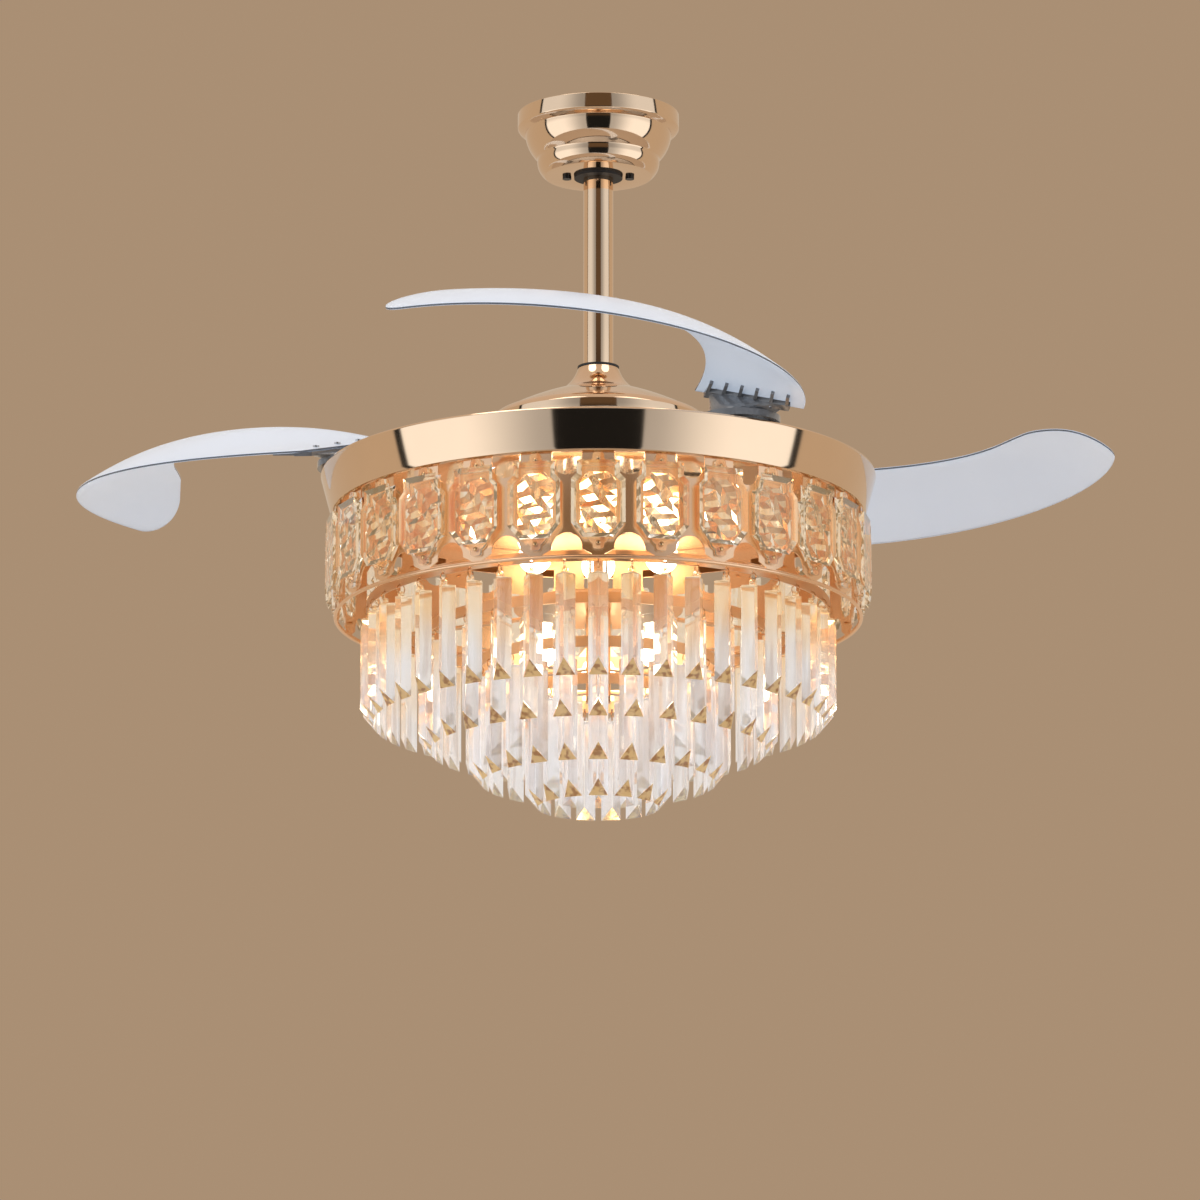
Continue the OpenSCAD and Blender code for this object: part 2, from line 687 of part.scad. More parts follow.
module return_springs() {
  color(steel) for (i = [0 : 2]) at_pivot(i) sweep(spring_path, wire_r, 6);
}

// ---- Lamp pan, drum and plaques ----

ring_low_r = ring_r - 8.5;
lip_r = drum_r + 1.4;
z_ring_low = z_ring - ring_h;
pan_outline = [
  [ring_r - 1.5, z_ring], [ring_r - 0.45, z_ring - 0.45], [ring_r, z_ring - 2],
  [ring_low_r, z_ring_low + 4], [ring_low_r - 1.2, z_ring_low + 0.8], [lip_r, z_ring_low]
];
function ring_r_at(z) = ring_r + (ring_low_r - ring_r) * (z_ring - 2 - z) / (ring_h - 6);
pan_screw_r = 2;
drum_flange = 13;
flange_at = drum_r - sheet_t - drum_flange / 2;
bell_r = 31.5;
bell_flange = 7;
bell_at = bell_r + bell_flange / 2;
module pan_screw_holes(z_low, z_high) {
  around(6, flange_at, 15) rod(pan_screw_r + fit, z_low, z_high);
  around(3, bell_at, 60) rod(pan_screw_r + fit, z_low, z_high);
}
module lamp_pan() {
  color(gold) difference() {
    union() {
      spun(pan_outline, sheet_t);
      ring_band(shaft_r + fit, ring_r_at(z_pan) - sheet_t / 2, z_under, z_pan);
    }
    pan_screw_holes(z_under - 1, z_pan + 1);
  }
}
nut_h = 7;
module shaft_nut() {
  color(steel) difference() {
    translate([0, 0, z_under - nut_h]) cylinder(r = 18, h = nut_h, $fn = 6);
    rod(shaft_r + fit, z_under - nut_h - 1, z_under + 1);
  }
}
// Drum heights, from the top of a plaque's upper ear
z_drum_low = z_under - drum_h;
z_plaque = z_ring_low - 0.8;
plaque_pitch = 360 / plaque_count;
window_w = 32;
window_top = 17;
window_low = 75;
tab_w = 27;
tab_low = 19;
dome_w = 27;
dome_h = 20;
dome_foot_w = 45;
pin_hole_r = 1.2;
ear_holes = [6, 81];
hoop_r = 1.6;
// A flat shape, drawn as across and up, pushed through the drum at a bearing
module radial(bearing, z, from, depth) {
  rotate([0, 0, bearing]) translate([from, 0, z]) rotate([90, 0, 90]) linear_extrude(depth) children();
}
module window_shape() {
  polygon([
    [-window_w / 2, -window_low + 10], [-window_w / 4, -window_low], [window_w / 4, -window_low],
    [window_w / 2, -window_low + 10], [window_w / 2, -window_top - 8], [window_w / 4, -window_top],
    [-window_w / 4, -window_top], [-window_w / 2, -window_top - 8]
  ]);
}
module tab_shape() {
  translate([-tab_w / 2, -tab_low + tab_w / 2]) square([tab_w, tab_w / 2]);
  translate([0, -tab_low + tab_w / 2]) circle(d = tab_w, $fn = 32);
}
module dome_shape() {
  translate([0, dome_h - dome_w / 2]) circle(d = dome_w, $fn = 32);
  translate([-dome_w / 2, 0]) square([dome_w, dome_h - dome_w / 2]);
  polygon([[-dome_foot_w / 2, 0], [dome_foot_w / 2, 0], [dome_w / 2, 5], [-dome_w / 2, 5]]);
}
module drum() {
  wall_in = drum_r - sheet_t;
  color(gold) difference() {
    union() {
      ring_band(wall_in, drum_r, z_drum_low, z_under);
      ring_band(wall_in - drum_flange, wall_in + 0.5, z_under - sheet_t, z_under);
      rotate_extrude($fn = 96) translate([drum_r, z_drum_low]) circle(r = hoop_r, $fn = 12);
    }
    for (k = [0 : plaque_count - 1]) {
      radial(-90 + k * plaque_pitch, z_plaque, wall_in - 5, 12) {
        window_shape();
        for (h = ear_holes) translate([0, -h]) circle(r = pin_hole_r + fit, $fn = 20);
      }
      radial(-90 + (k + 0.5) * plaque_pitch, z_plaque, wall_in - 5, 12) tab_shape();
      radial(-90 + (k + 0.5) * plaque_pitch, z_drum_low + hoop_r + 0.6, wall_in - 5, 12) dome_shape();
    }
    pan_screw_holes(z_under - sheet_t - 1, z_under + 1);
  }
}
// Screws up through the drum's flange and the bell's flange into the pan floor
module pan_screws() {
  color(steel) {
    around(6, flange_at, 15) mirror([0, 0, 1]) screw(pan_screw_r, sheet_t - z_under, 6, 3.5, 2.2);
    around(3, bell_at, 60) mirror([0, 0, 1]) screw(pan_screw_r, bell_t - z_under, 6, 3.5, 2.2);
  }
}
// Half outline of a plaque: half width and depth below the top of its upper ear
plaque_half = [
  [2.5, 0], [5, 2.5], [5.5, 8], [14.3, 12], [14.3, 22], [19.2, 27], [19.2, 63],
  [11.3, 73], [5.5, 79], [5, 84.5], [2.5, 87]
];
plaque_body = [[14.3, 13], [14.3, 22], [19.2, 27], [19.2, 63], [11.3, 73]];
ear_t = 3;
plaque_t = 8;
plaque_gap = 0.3;
module plaque_outline(half) {
  polygon(concat([for (p = half) [p.x, -p.y]], [for (p = reverse(half)) [-p.x, -p.y]]));
}
module plaques() {
  back = drum_r + plaque_gap;
  color(glass) for (k = [0 : plaque_count - 1]) {
    radial(-90 + k * plaque_pitch, z_plaque, back, ear_t) difference() {
      plaque_outline(plaque_half);
      for (h = ear_holes) translate([0, -h]) circle(r = pin_hole_r + fit, $fn = 20);
    }
    radial(-90 + k * plaque_pitch, z_plaque, back, plaque_t) plaque_outline(plaque_body);
  }
}
module plaque_pins() {
  front = drum_r + plaque_gap + ear_t;
  color(gold) for (k = [0 : plaque_count - 1], h = ear_holes)
    rotate([0, 0, -90 + k * plaque_pitch]) translate([0, 0, z_plaque - h]) rotate([0, 90, 0])
      screw(pin_hole_r, front, ear_t + 4, 2.2, 1.1);
}

// ---- Lamp gear inside the drum ----

bell_t = 1.5;
bell_h = 30;
stem_r = 7;
stem_shoulder = 10;
z_tiers = [for (d = tier_drop) z_under - d];
tier_hub_h = 4;
z_stem_low = z_tiers[3] - tier_hub_h - 9;
lead_r = 2.2;
lead_y = 5.2;
lead_bend = 18;
z_lead = z_under - 19;
module frame_stem() {
  color(steel) difference() {
    union() {
      ring_band(bell_r - bell_t, bell_r + bell_flange, z_under - bell_t, z_under);
      ring_band(bell_r - bell_t, bell_r, z_under - bell_h, z_under);
      rod(bell_r, z_under - bell_h - bell_t, z_under - bell_h);
      rod(stem_shoulder, z_tiers[0] + tier_hub_h, z_under - bell_h);
      rod(stem_r, z_stem_low, z_tiers[0] + tier_hub_h);
    }
    pan_screw_holes(z_under - bell_t - 1, z_under + 1);
    translate([0, lead_y, z_lead]) rotate([0, 90, 0]) cylinder(r = lead_r + 0.8, h = bell_r + 5);
  }
}
module stem_nut() {
  color(steel) difference() {
    translate([0, 0, z_tiers[3] - tier_hub_h - 6]) cylinder(r = 11, h = 6, $fn = 6);
    rod(stem_r + fit, z_stem_low - 1, z_tiers[3]);
  }
}
band_t = 1.2;
tier_band_h = 10;
link_hole_drop = 3;
link_hole_r = 1.2;
link_r = 4;
link_wire_r = 0.5;
spoke_w = 8;
spoke_t = 2;
// Each frame's sleeve reaches down to the next frame's hub, and the nut clamps the whole stack
module tier_frame(k) {
  sleeve_low = k < 3 ? z_tiers[k + 1] + tier_hub_h : z_tiers[k] - tier_hub_h;
  color(gold) difference() {
    union() {
      ring_band(tier_r[k] - band_t / 2, tier_r[k] + band_t / 2, z_tiers[k] - tier_band_h / 2, z_tiers[k] + tier_band_h / 2);
      rod(stem_r + 4, sleeve_low, z_tiers[k] + tier_hub_h);
      around(3, 0, 30) translate([stem_r + 2, -spoke_w / 2, z_tiers[k]])
        cube([tier_r[k] - stem_r - 2, spoke_w, spoke_t]);
      if (k == 0) rod(lamp_plate_r, z_tiers[0], z_tiers[0] + spoke_t);
    }
    rod(stem_r + fit, sleeve_low - 1, z_tiers[k] + tier_hub_h + 1);
    around(tier_count[k], 0, -90) translate([tier_r[k] - 5, 0, z_tiers[k] - link_hole_drop]) rotate([0, 90, 0])
      cylinder(r = link_hole_r, h = 10, $fn = 20);
  }
}
link_drop = link_hole_drop + link_hole_r - link_wire_r - 0.1 + link_r;
tongue_hole_r = 1.3;
tongue_t = 3;
tongue_w = 6;
tongue_h = 5;
tongue_drop = link_drop + link_r + tongue_hole_r - link_wire_r - 0.45;
tongue_top = 2.3;
module prism() {
  body_h = prism_len - tongue_h;
  difference() {
    union() {
      translate([0, 0, -tongue_h - body_h]) intersection() {
        linear_extrude(body_h) polygon([[-prism_d / 2, -prism_w / 2], [prism_d / 2, 0], [-prism_d / 2, prism_w / 2]]);
        translate([0, prism_w, 0]) rotate([90, 0, 0]) linear_extrude(2 * prism_w)
          polygon([[-prism_d / 2, 0], [prism_d / 2, prism_cut], [prism_d / 2, body_h], [-prism_d / 2, body_h]]);
      }
      translate([-tongue_t / 2, -tongue_w / 2, -tongue_h - 1]) cube([tongue_t, tongue_w, tongue_h + 1]);
    }
    translate([-5, 0, -tongue_top]) rotate([0, 90, 0]) cylinder(r = tongue_hole_r, h = 10, $fn = 20);
  }
}
module prisms(k) {
  color(glass) around(tier_count[k], tier_r[k], -90)
    translate([0, 0, z_tiers[k] - tongue_drop + tongue_top]) prism();
}
module prism_links() {
  color(gold) for (k = [0 : 3]) around(tier_count[k], tier_r[k], -90)
    translate([0, 0, z_tiers[k] - link_drop]) rotate([90, 0, 0])
      rotate_extrude($fn = 24) translate([link_r, 0]) circle(r = link_wire_r, $fn = 16);
}
upper_lamps = 6;
upper_at = 66;
lower_lamps = 3;
lower_at = 58;
lamp_plate_r = lower_at + 18;
socket_r = 12;
upper_socket_h = 26;
lower_socket_h = 20;
globe_r = 15;
// Children drawn below each lamp's seat
module at_upper_lamps() {
  around(upper_lamps, upper_at, -90) translate([0, 0, z_under]) children();
}
module at_lower_lamps() {
  around(lower_lamps, lower_at, -30) translate([0, 0, z_tiers[0]]) children();
}
module lamp_socket(h) {
  rod(socket_r, -h + 8, 0);
  rod(socket_r - 1.5, -h, -h + 8);
}
module lamp_sockets() {
  color(plastic) {
    at_upper_lamps() lamp_socket(upper_socket_h);
    at_lower_lamps() lamp_socket(lower_socket_h);
  }
}
globe_drop = 24;
neck_bulb_r = 8;
bulb_outline = concat(
  [[0, 0], [neck_bulb_r, 0], [neck_bulb_r, -6]],
  [for (a = [45 : -15 : -75]) [globe_r * cos(a), -globe_drop + globe_r * sin(a)]],
  [[0, -globe_drop - globe_r]]
);
module bulb(h) {
  translate([0, 0, -h]) rotate_extrude() polygon(bulb_outline);
}
module bulbs() {
  color(warm) {
    at_upper_lamps() bulb(upper_socket_h);
    at_lower_lamps() bulb(lower_socket_h);
  }
}
driver_at = 95;
module driver_box() {
  color(plastic) translate([driver_at, -25, z_under - 24]) cube([80, 60, 24]);
}
receiver = [56, 26, 14];
module remote_receiver() {
  color(plastic) translate([-receiver.x / 2, -receiver.y / 2, -bracket_t - receiver.z]) cube(receiver);
}
module terminal_block() {
  color(dark) difference() {
    translate([-18, receiver.y / 2, -bracket_t - 9]) cube([36, 7.5, 9]);
    for (x = [-12 : 8 : 12]) translate([x, receiver.y / 2 + 3.7, 0]) rod(1.6, -bracket_t - 10, -bracket_t - 4);
  }
}
// The lead runs down the hollow rod and shaft, and turns to the driver box inside the bell
module motor_lead() {
  z_bend = z_lead + lead_bend;
  color(dark) translate([0, lead_y, 0]) {
    rod(lead_r, z_bend, -bracket_t - receiver.z);
    translate([lead_bend, 0, z_bend]) rotate([90, 0, 0]) rotate([0, 0, 180]) rotate_extrude(angle = 90)
      translate([lead_bend, 0]) circle(r = lead_r, $fn = 24);
    translate([lead_bend, 0, z_lead]) rotate([0, 90, 0]) cylinder(r = lead_r, h = driver_at - lead_bend);
  }
}

hanger_bracket();
canopy();
canopy_ring();
canopy_screws();
hanger_ball();
rod_pins();
downrod();
gasket_ring();
shaft_coupling();
motor_shaft();
stator_core();
stator_windings();
bearing_inner_races();
motor_cover();
cover_plate();
motor_screws();
lamp_pan();
shaft_nut();
drum();
pan_screws();
plaques();
plaque_pins();
lamp_sockets();
bulbs();
driver_box();
terminal_block();
remote_receiver();
motor_lead();
frame_stem();
stem_nut();
tier_frame(0);  // tier_frame_1
tier_frame(1);  // tier_frame_2
tier_frame(2);  // tier_frame_3
tier_frame(3);  // tier_frame_4
prisms(0);  // prisms_1
prisms(1);  // prisms_2
prisms(2);  // prisms_3
prisms(3);  // prisms_4
prism_links();
rotor_upper_housing();
rotor_lower_housing();
magnet_ring();
rotor_screws();
bearing_outer_races();
bearing_balls();
blade_tray();
stop_buffers();
return_springs();
blade(0);  // blade_front
blade(1);  // blade_left
blade(2);  // blade_back
blade_bracket(0);  // blade_bracket_front
blade_bracket(1);  // blade_bracket_left
blade_bracket(2);  // blade_bracket_back
blade_screws(0);  // blade_screws_front
blade_screws(1);  // blade_screws_left
blade_screws(2);  // blade_screws_back
pivot_bolt(0);  // pivot_bolt_front
pivot_bolt(1);  // pivot_bolt_left
pivot_bolt(2);  // pivot_bolt_back
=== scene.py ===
import math

import bmesh
import bpy
from mathutils import Euler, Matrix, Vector
from mathutils.geometry import delaunay_2d_cdt


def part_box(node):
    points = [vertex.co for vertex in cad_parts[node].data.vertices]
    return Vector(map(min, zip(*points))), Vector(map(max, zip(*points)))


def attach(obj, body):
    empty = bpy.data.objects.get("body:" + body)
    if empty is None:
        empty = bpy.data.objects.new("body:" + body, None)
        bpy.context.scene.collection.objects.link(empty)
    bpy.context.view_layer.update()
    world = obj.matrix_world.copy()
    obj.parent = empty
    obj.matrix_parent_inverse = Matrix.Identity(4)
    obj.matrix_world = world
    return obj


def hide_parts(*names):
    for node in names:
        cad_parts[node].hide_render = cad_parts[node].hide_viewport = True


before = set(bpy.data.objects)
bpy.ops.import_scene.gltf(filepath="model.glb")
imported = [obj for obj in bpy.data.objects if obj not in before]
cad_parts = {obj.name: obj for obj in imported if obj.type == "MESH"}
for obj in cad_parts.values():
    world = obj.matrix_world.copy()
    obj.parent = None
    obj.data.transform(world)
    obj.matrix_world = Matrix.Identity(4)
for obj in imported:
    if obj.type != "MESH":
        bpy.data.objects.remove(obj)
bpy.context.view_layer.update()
MM = 0.001

# ---- Camera ----
# The fan is seen from the front and from well below, through a long lens that keeps its rings nearly flat.
# Light may bend often enough to pass through several crystals, one behind another.

CAMERA_PLACE = (0.0015, -7.2703, -2.1896)
LOOKS_UP = 13.43
LENS = 249.72
BENDS = 24

camera = bpy.data.objects.new("camera", bpy.data.cameras.new("camera"))
bpy.context.collection.objects.link(camera)
camera.location = CAMERA_PLACE
camera.rotation_euler = (math.radians(90 + LOOKS_UP), 0, 0)
camera.data.lens = LENS
camera.data.clip_end = 100
scene = bpy.context.scene
scene.camera = camera
scene.view_settings.view_transform = "Standard"
scene.cycles.max_bounces = BENDS
scene.cycles.transmission_bounces = BENDS

# ---- Studio ----
# A pale floor far below, and a room of soft white panels at both sides of the camera, with a dark gap between
# them. The polished metal needs the gap and the panels: they make its long dark and pale stripes.


class Wire:
    """An output socket that works in expressions: each operator adds its node."""

    def __init__(self, sheet, socket):
        self.sheet = sheet
        self.socket = socket

    def __add__(self, other):
        return self.sheet.maths("ADD", self, other)

    def __sub__(self, other):
        return self.sheet.maths("SUBTRACT", self, other)

    def __rsub__(self, other):
        return self.sheet.maths("SUBTRACT", other, self)

    def __mul__(self, other):
        return self.sheet.maths("MULTIPLY", self, other)

    def __abs__(self):
        return self.sheet.maths("ABSOLUTE", self)

    __radd__ = __add__
    __rmul__ = __mul__


class Sheet:
    """A node tree as it is drawn up."""

    def __init__(self, tree):
        self.tree = tree
        tree.nodes.clear()

    def add(self, kind, settings=None, inputs=None, output=0):
        """A new node: its settings go in first, then the values or links of its sockets."""
        node = self.tree.nodes.new(kind)
        for name, value in (settings or {}).items():
            setattr(node, name, value)
        for name, value in (inputs or {}).items():
            if isinstance(value, Wire):
                self.tree.links.new(value.socket, node.inputs[name])
            else:
                node.inputs[name].default_value = value
        return Wire(self, node.outputs[output]) if node.outputs else None

    def maths(self, operation, a, b=0.0):
        """One Math node, on two values or on the first alone."""
        return self.add("ShaderNodeMath", {"operation": operation}, {0: a, 1: b})

    def step(self, value, start, end):
        """Goes smoothly from 0 to 1 as the value goes from start to end."""
        limits = {0: value, 1: start, 2: end}
        return self.add("ShaderNodeMapRange", {"interpolation_type": "SMOOTHSTEP"}, limits)

    def band(self, value, centre, half, soft):
        """Is 1 within half of the centre, and fades over soft outside it."""
        return 1 - self.step(abs(value - centre), half, half + soft)

    def blend(self, share, a, b):
        """Colour a where the share is 0, colour b where it is 1."""
        colours = {6: a if isinstance(a, Wire) else (*a, 1), 7: b if isinstance(b, Wire) else (*b, 1)}
        return self.add("ShaderNodeMix", {"data_type": "RGBA"}, {0: share, **colours}, 2)

    def noise(self, scale, detail=2.0, stretch=(1, 1, 1)):
        """A cloud pattern from 0 to 1 fixed to the piece, with that many clouds in a metre."""
        place = self.add("ShaderNodeTexCoord", output="Object")
        place = self.add("ShaderNodeMapping", None, {"Vector": place, "Scale": stretch})
        return self.add("ShaderNodeTexNoise", None, {"Vector": place, "Scale": scale, "Detail": detail})

    def bump(self, height, distance):
        """A relief that stands out by that distance, in metres, where the height is 1."""
        return self.add("ShaderNodeBump", None, {"Height": height, "Distance": distance})


world = bpy.data.worlds.new("studio")
scene.world = world
world.use_nodes = True
sky = Sheet(world.node_tree)
ray = sky.add("ShaderNodeTexCoord", output="Generated")
split = sky.add("ShaderNodeSeparateXYZ", None, {0: ray})
side, ahead, up = (Wire(sky, split.socket.node.outputs[k]) for k in range(3))

# Bearings are measured from the camera's side of the fan, and heights from the horizon, both in degrees
DEGREES = 180 / math.pi
GAP_HALF = 18.5
PANEL_RISES, BACK_RISES = (20, 60), (89, 93)
HIGH_RISES, CEILING_RISES, GROUND_RISES = (0, 12), (28, 44), (-38, -52)
PANEL_DULL, PANEL_GAIN, PANEL_HIGH_LOSS, STRAY_LIGHT = 0.55, 0.75, 0.30, 0.015
FRAME_AT, FRAME_HALF = 90, 1.2
bearing = abs(sky.maths("ARCTAN2", side, -1 * ahead)) * DEGREES
height = sky.maths("ARCSINE", up) * DEGREES
gap = sky.band(bearing, 0, GAP_HALF, 1)
inner_panel = sky.step(bearing, *PANEL_RISES) * PANEL_GAIN + PANEL_DULL
frame_line = sky.band(bearing, FRAME_AT, FRAME_HALF, 1.5)
panels = inner_panel * (1 - gap) * (1 - frame_line)
behind = sky.step(bearing, *BACK_RISES)
high = sky.step(height, *HIGH_RISES)
level = panels * (1 - behind) * (1 - PANEL_HIGH_LOSS * high) + STRAY_LIGHT

# The camera sees a plain brown wall, glass shows a paler one, and metal mirrors the room
WALL_COLOUR = (0.40, 0.275, 0.175)
WALL_IN_GLASS = (0.72, 0.66, 0.60)
PANEL_COLOUR = (0.94, 1.0, 1.07)
GAP_COLOUR = (0.13, 0.085, 0.05)
BACK_COLOUR = (0.60, 0.50, 0.39)
CEILING_COLOUR = (0.68, 0.57, 0.48)
GROUND_COLOUR = (0.79, 0.73, 0.64)
panel_light = sky.add("ShaderNodeVectorMath", {"operation": "SCALE"}, {0: PANEL_COLOUR, "Scale": level})
room = sky.blend(high * gap, panel_light, GAP_COLOUR)
room = sky.blend(behind * (1 - frame_line), room, BACK_COLOUR)
room = sky.blend(sky.step(height, *CEILING_RISES), room, CEILING_COLOUR)
room = sky.blend(sky.step(height, *GROUND_RISES), room, GROUND_COLOUR)
seen = sky.add("ShaderNodeLightPath", output="Is Camera Ray")
through = sky.add("ShaderNodeLightPath", output="Is Transmission Ray")
room = sky.blend(through, room, WALL_IN_GLASS)
lit = sky.add("ShaderNodeBackground", None, {"Color": sky.blend(seen, room, WALL_COLOUR), "Strength": 1.0})
sky.add("ShaderNodeOutputWorld", None, {"Surface": lit})

LAMP_SIZE = 2.2
FAN_MIDDLE = Vector((0, 0, -0.35))


def lamp(name, place, watts):
    """A soft round lamp aimed at the middle of the fan."""
    made = bpy.data.objects.new(name, bpy.data.lights.new(name, "AREA"))
    made.data.shape = "DISK"
    made.data.size = LAMP_SIZE
    made.data.energy = watts
    made.location = place
    made.rotation_euler = (Vector(place) - FAN_MIDDLE).to_track_quat("Z", "Y").to_euler()
    bpy.context.collection.objects.link(made)


lamp("key_lamp", (-1.6, -1.6, 3.0), 26)
lamp("fill_lamp", (1.8, -1.4, 3.0), 20)


def surface(name, draw):
    """A material with one Principled shader, whose sockets the function draw gives by name."""
    material = bpy.data.materials.new(name)
    material.use_nodes = True
    sheet = Sheet(material.node_tree)
    inputs = {}
    for key, value in draw(sheet).items():
        socket = {"ior": "IOR"}.get(key, key.replace("_", " ").title())
        inputs[socket] = (*value, 1) if isinstance(value, tuple) and len(value) == 3 else value
    shader = sheet.add("ShaderNodeBsdfPrincipled", None, inputs)
    sheet.add("ShaderNodeOutputMaterial", None, {"Surface": shader})
    return material


def piece(name, mesh, material, body=None, slot=None, *nodes):
    """Puts a finished mesh on a body, in place of the CAD nodes named, or on the stage."""
    mesh.name = name
    mesh.materials.clear()
    mesh.materials.append(material)
    made = bpy.data.objects.new(name, mesh)
    bpy.context.collection.objects.link(made)
    if body is None:
        return
    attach(made, body)
    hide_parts(*nodes)


def meshed(made, sharp=35.0):
    """A mesh from a bmesh, smooth but for edges that turn by more than sharp degrees."""
    mesh = bpy.data.meshes.new("piece")
    made.to_mesh(mesh)
    made.free()
    mesh.shade_smooth()
    mesh.set_sharp_from_angle(angle=math.radians(sharp))
    return mesh


FLOOR_Z = -2.6
FLOOR_R = 4.0
disc = bmesh.new()
bmesh.ops.create_circle(disc, cap_ends=True, segments=128, radius=FLOOR_R)
bmesh.ops.translate(disc, verts=disc.verts, vec=(0, 0, FLOOR_Z))
floor_paint = surface("floor_paint", lambda s: {
    "base_color": s.blend(s.noise(1.5), (0.66, 0.60, 0.53), (0.70, 0.64, 0.57)),
    "roughness": 0.8,
})
piece("floor", meshed(disc), floor_paint)

# ---- Polished metal shells ----
# Canopy, rod, motor cover and lamp ring are spun or drawn steel, plated rose gold and polished to a mirror.
# Their edges are eased by the polishing, which gives each a thin bright line.


def plated(name, colour, roughness, swirl, **more):
    """Polished plating: a mirror with faint polishing swirls and slow drifts of tone."""
    darker = tuple(0.9 * c for c in colour)
    return surface(name, lambda s: {
        **more,
        "base_color": s.blend(s.noise(14, 3), colour, darker),
        "metallic": 1.0,
        "roughness": roughness * 0.7 + s.noise(22, 4) * roughness * 0.6,
        "normal": s.bump(s.noise(9, 1), swirl * MM),
    })


rose_gold = plated("rose_gold", (0.87, 0.63, 0.43), 0.07, 0.05)
rose_gold_trim = plated("rose_gold_trim", (0.80, 0.50, 0.26), 0.16, 0.05)
# The drum also carries the lamps' warm light that the plaques throw back on it
rose_gold_satin = plated("rose_gold_satin", (0.82, 0.55, 0.36), 0.22, 0.08,
                         emission_color=(0.9, 0.42, 0.14), emission_strength=0.12)


def bow(p, q, bulge, count=24):
    """Points from p to q on a shallow curve that bulges to the left."""
    way = q - p
    aside = Vector((-way.y, way.x)).normalized()
    steps = [k / count for k in range(count + 1)]
    return [p + way * t + aside * (4 * bulge * t * (1 - t)) for t in steps]


# A corner that turns by fewer degrees is a joint in a curve, and stays
REAL_CORNER = 25
EASE_STEPS = 3


def eased(loop, size):
    """A closed outline with each real corner rounded off over that distance."""
    made = []
    for i, corner in enumerate(loop):
        before, after = loop[i - 1] - corner, loop[(i + 1) % len(loop)] - corner
        turn = math.pi - before.angle(after)
        if turn < math.radians(REAL_CORNER):
            made.append(corner)
            continue
        start = corner + before * min(0.45, size / before.length)
        end = corner + after * min(0.45, size / after.length)
        for k in range(EASE_STEPS + 1):
            t = k / EASE_STEPS
            made.append(start * (1 - t) ** 2 + corner * (2 * t * (1 - t)) + end * t * t)
    return made


def shell(line, wall):
    """A closed outline round a line of points, with its wall to the right of the way it runs."""
    inner = []
    for i, p in enumerate(line):
        way = (line[min(i + 1, len(line) - 1)] - line[max(i - 1, 0)]).normalized()
        inner.append(p + Vector((way.y, -way.x)) * wall)
    return line + inner[::-1]


def points(*pairs):
    """Pairs of numbers as points."""
    return [Vector(pair) for pair in pairs]


def skin(made, rings, closed=False):
    """Faces between each ring of corners and the next, and from the last to the first where closed."""
    following = rings[1:] + rings[:1] if closed else rings[1:]
    for low, high in zip(rings, following):
        for i in range(len(low)):
            j = (i + 1) % len(low)
            made.faces.new((low[i], low[j], high[j], high[i]))


SPIN_STEPS = 192


def spun(*loops, soft=0.35):
    """Closed outlines of radius and height, in millimetres, turned round the fan's axis."""
    made = bmesh.new()
    for loop in loops:
        loop = eased(loop, soft) if soft else loop
        rings = []
        for k in range(SPIN_STEPS):
            turn = k * 2 * math.pi / SPIN_STEPS
            across, along = math.cos(turn), math.sin(turn)
            rings.append([made.verts.new((p.x * across * MM, p.x * along * MM, p.y * MM)) for p in loop])
        skin(made, rings, closed=True)
    bmesh.ops.remove_doubles(made, verts=made.verts, dist=1e-6)
    bmesh.ops.recalc_face_normals(made, faces=made.faces)
    return meshed(made)


def millimetres(node):
    """The lowest and highest corner of a CAD node, in millimetres."""
    return [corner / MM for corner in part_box(node)]


SHEET_T = 1.2
canopy_low, canopy_high = millimetres("canopy")
canopy_r, canopy_base = canopy_high.x, canopy_low.z
CEILING_GAP, RIM_H = 0.02, 13
WAIST_IN, WAIST_SHARE = 17.6, 0.71
FOOT_IN, ROD_HOLE_R = 24.8, 20
waist = Vector((canopy_r - WAIST_IN, WAIST_SHARE * canopy_base))
# A straight rim with a rolled edge, a bulging flank down to the waist, and a smaller one down to the foot
canopy_line = (
    points((canopy_r, -CEILING_GAP), (canopy_r, -RIM_H))
    + points((canopy_r - 1, -RIM_H - 1.6), (canopy_r - 3, -RIM_H - 3))
    + bow(Vector((canopy_r - 6.7, -RIM_H - 4.2)), waist, 2.6)
    + bow(waist + Vector((-0.3, -1.2)), Vector((canopy_r - FOOT_IN, canopy_base)), 2.4)
    + points((ROD_HOLE_R, canopy_base))
)
canopy_shell = spun(shell(canopy_line, SHEET_T))
piece("canopy_shell", canopy_shell, rose_gold, "fixed_frame", "rose_gold", "canopy")

rod_low, rod_high = millimetres("downrod")
rod_r, ROD_WALL = rod_high.x, 2.0
rod_bore = rod_r - ROD_WALL
rod_loop = points((rod_bore, rod_low.z), (rod_r, rod_low.z), (rod_r, rod_high.z), (rod_bore, rod_high.z))
piece("downrod_tube", spun(rod_loop), rose_gold, "fixed_frame", "rose_gold", "downrod")

cover_low, cover_high = millimetres("motor_cover")
cover_r, cover_top = cover_high.x, cover_high.z
NECK_R, PLATE_DEPTH = 18.5, 49
SHOULDER_OUT, SHOULDER_DROP = 16, 21
BROW_IN, BROW_UP = 12, 6
plate_z = cover_top - PLATE_DEPTH
shoulder = Vector((NECK_R + SHOULDER_OUT, cover_top - SHOULDER_DROP))
brow = Vector((cover_r - BROW_IN, plate_z + BROW_UP))
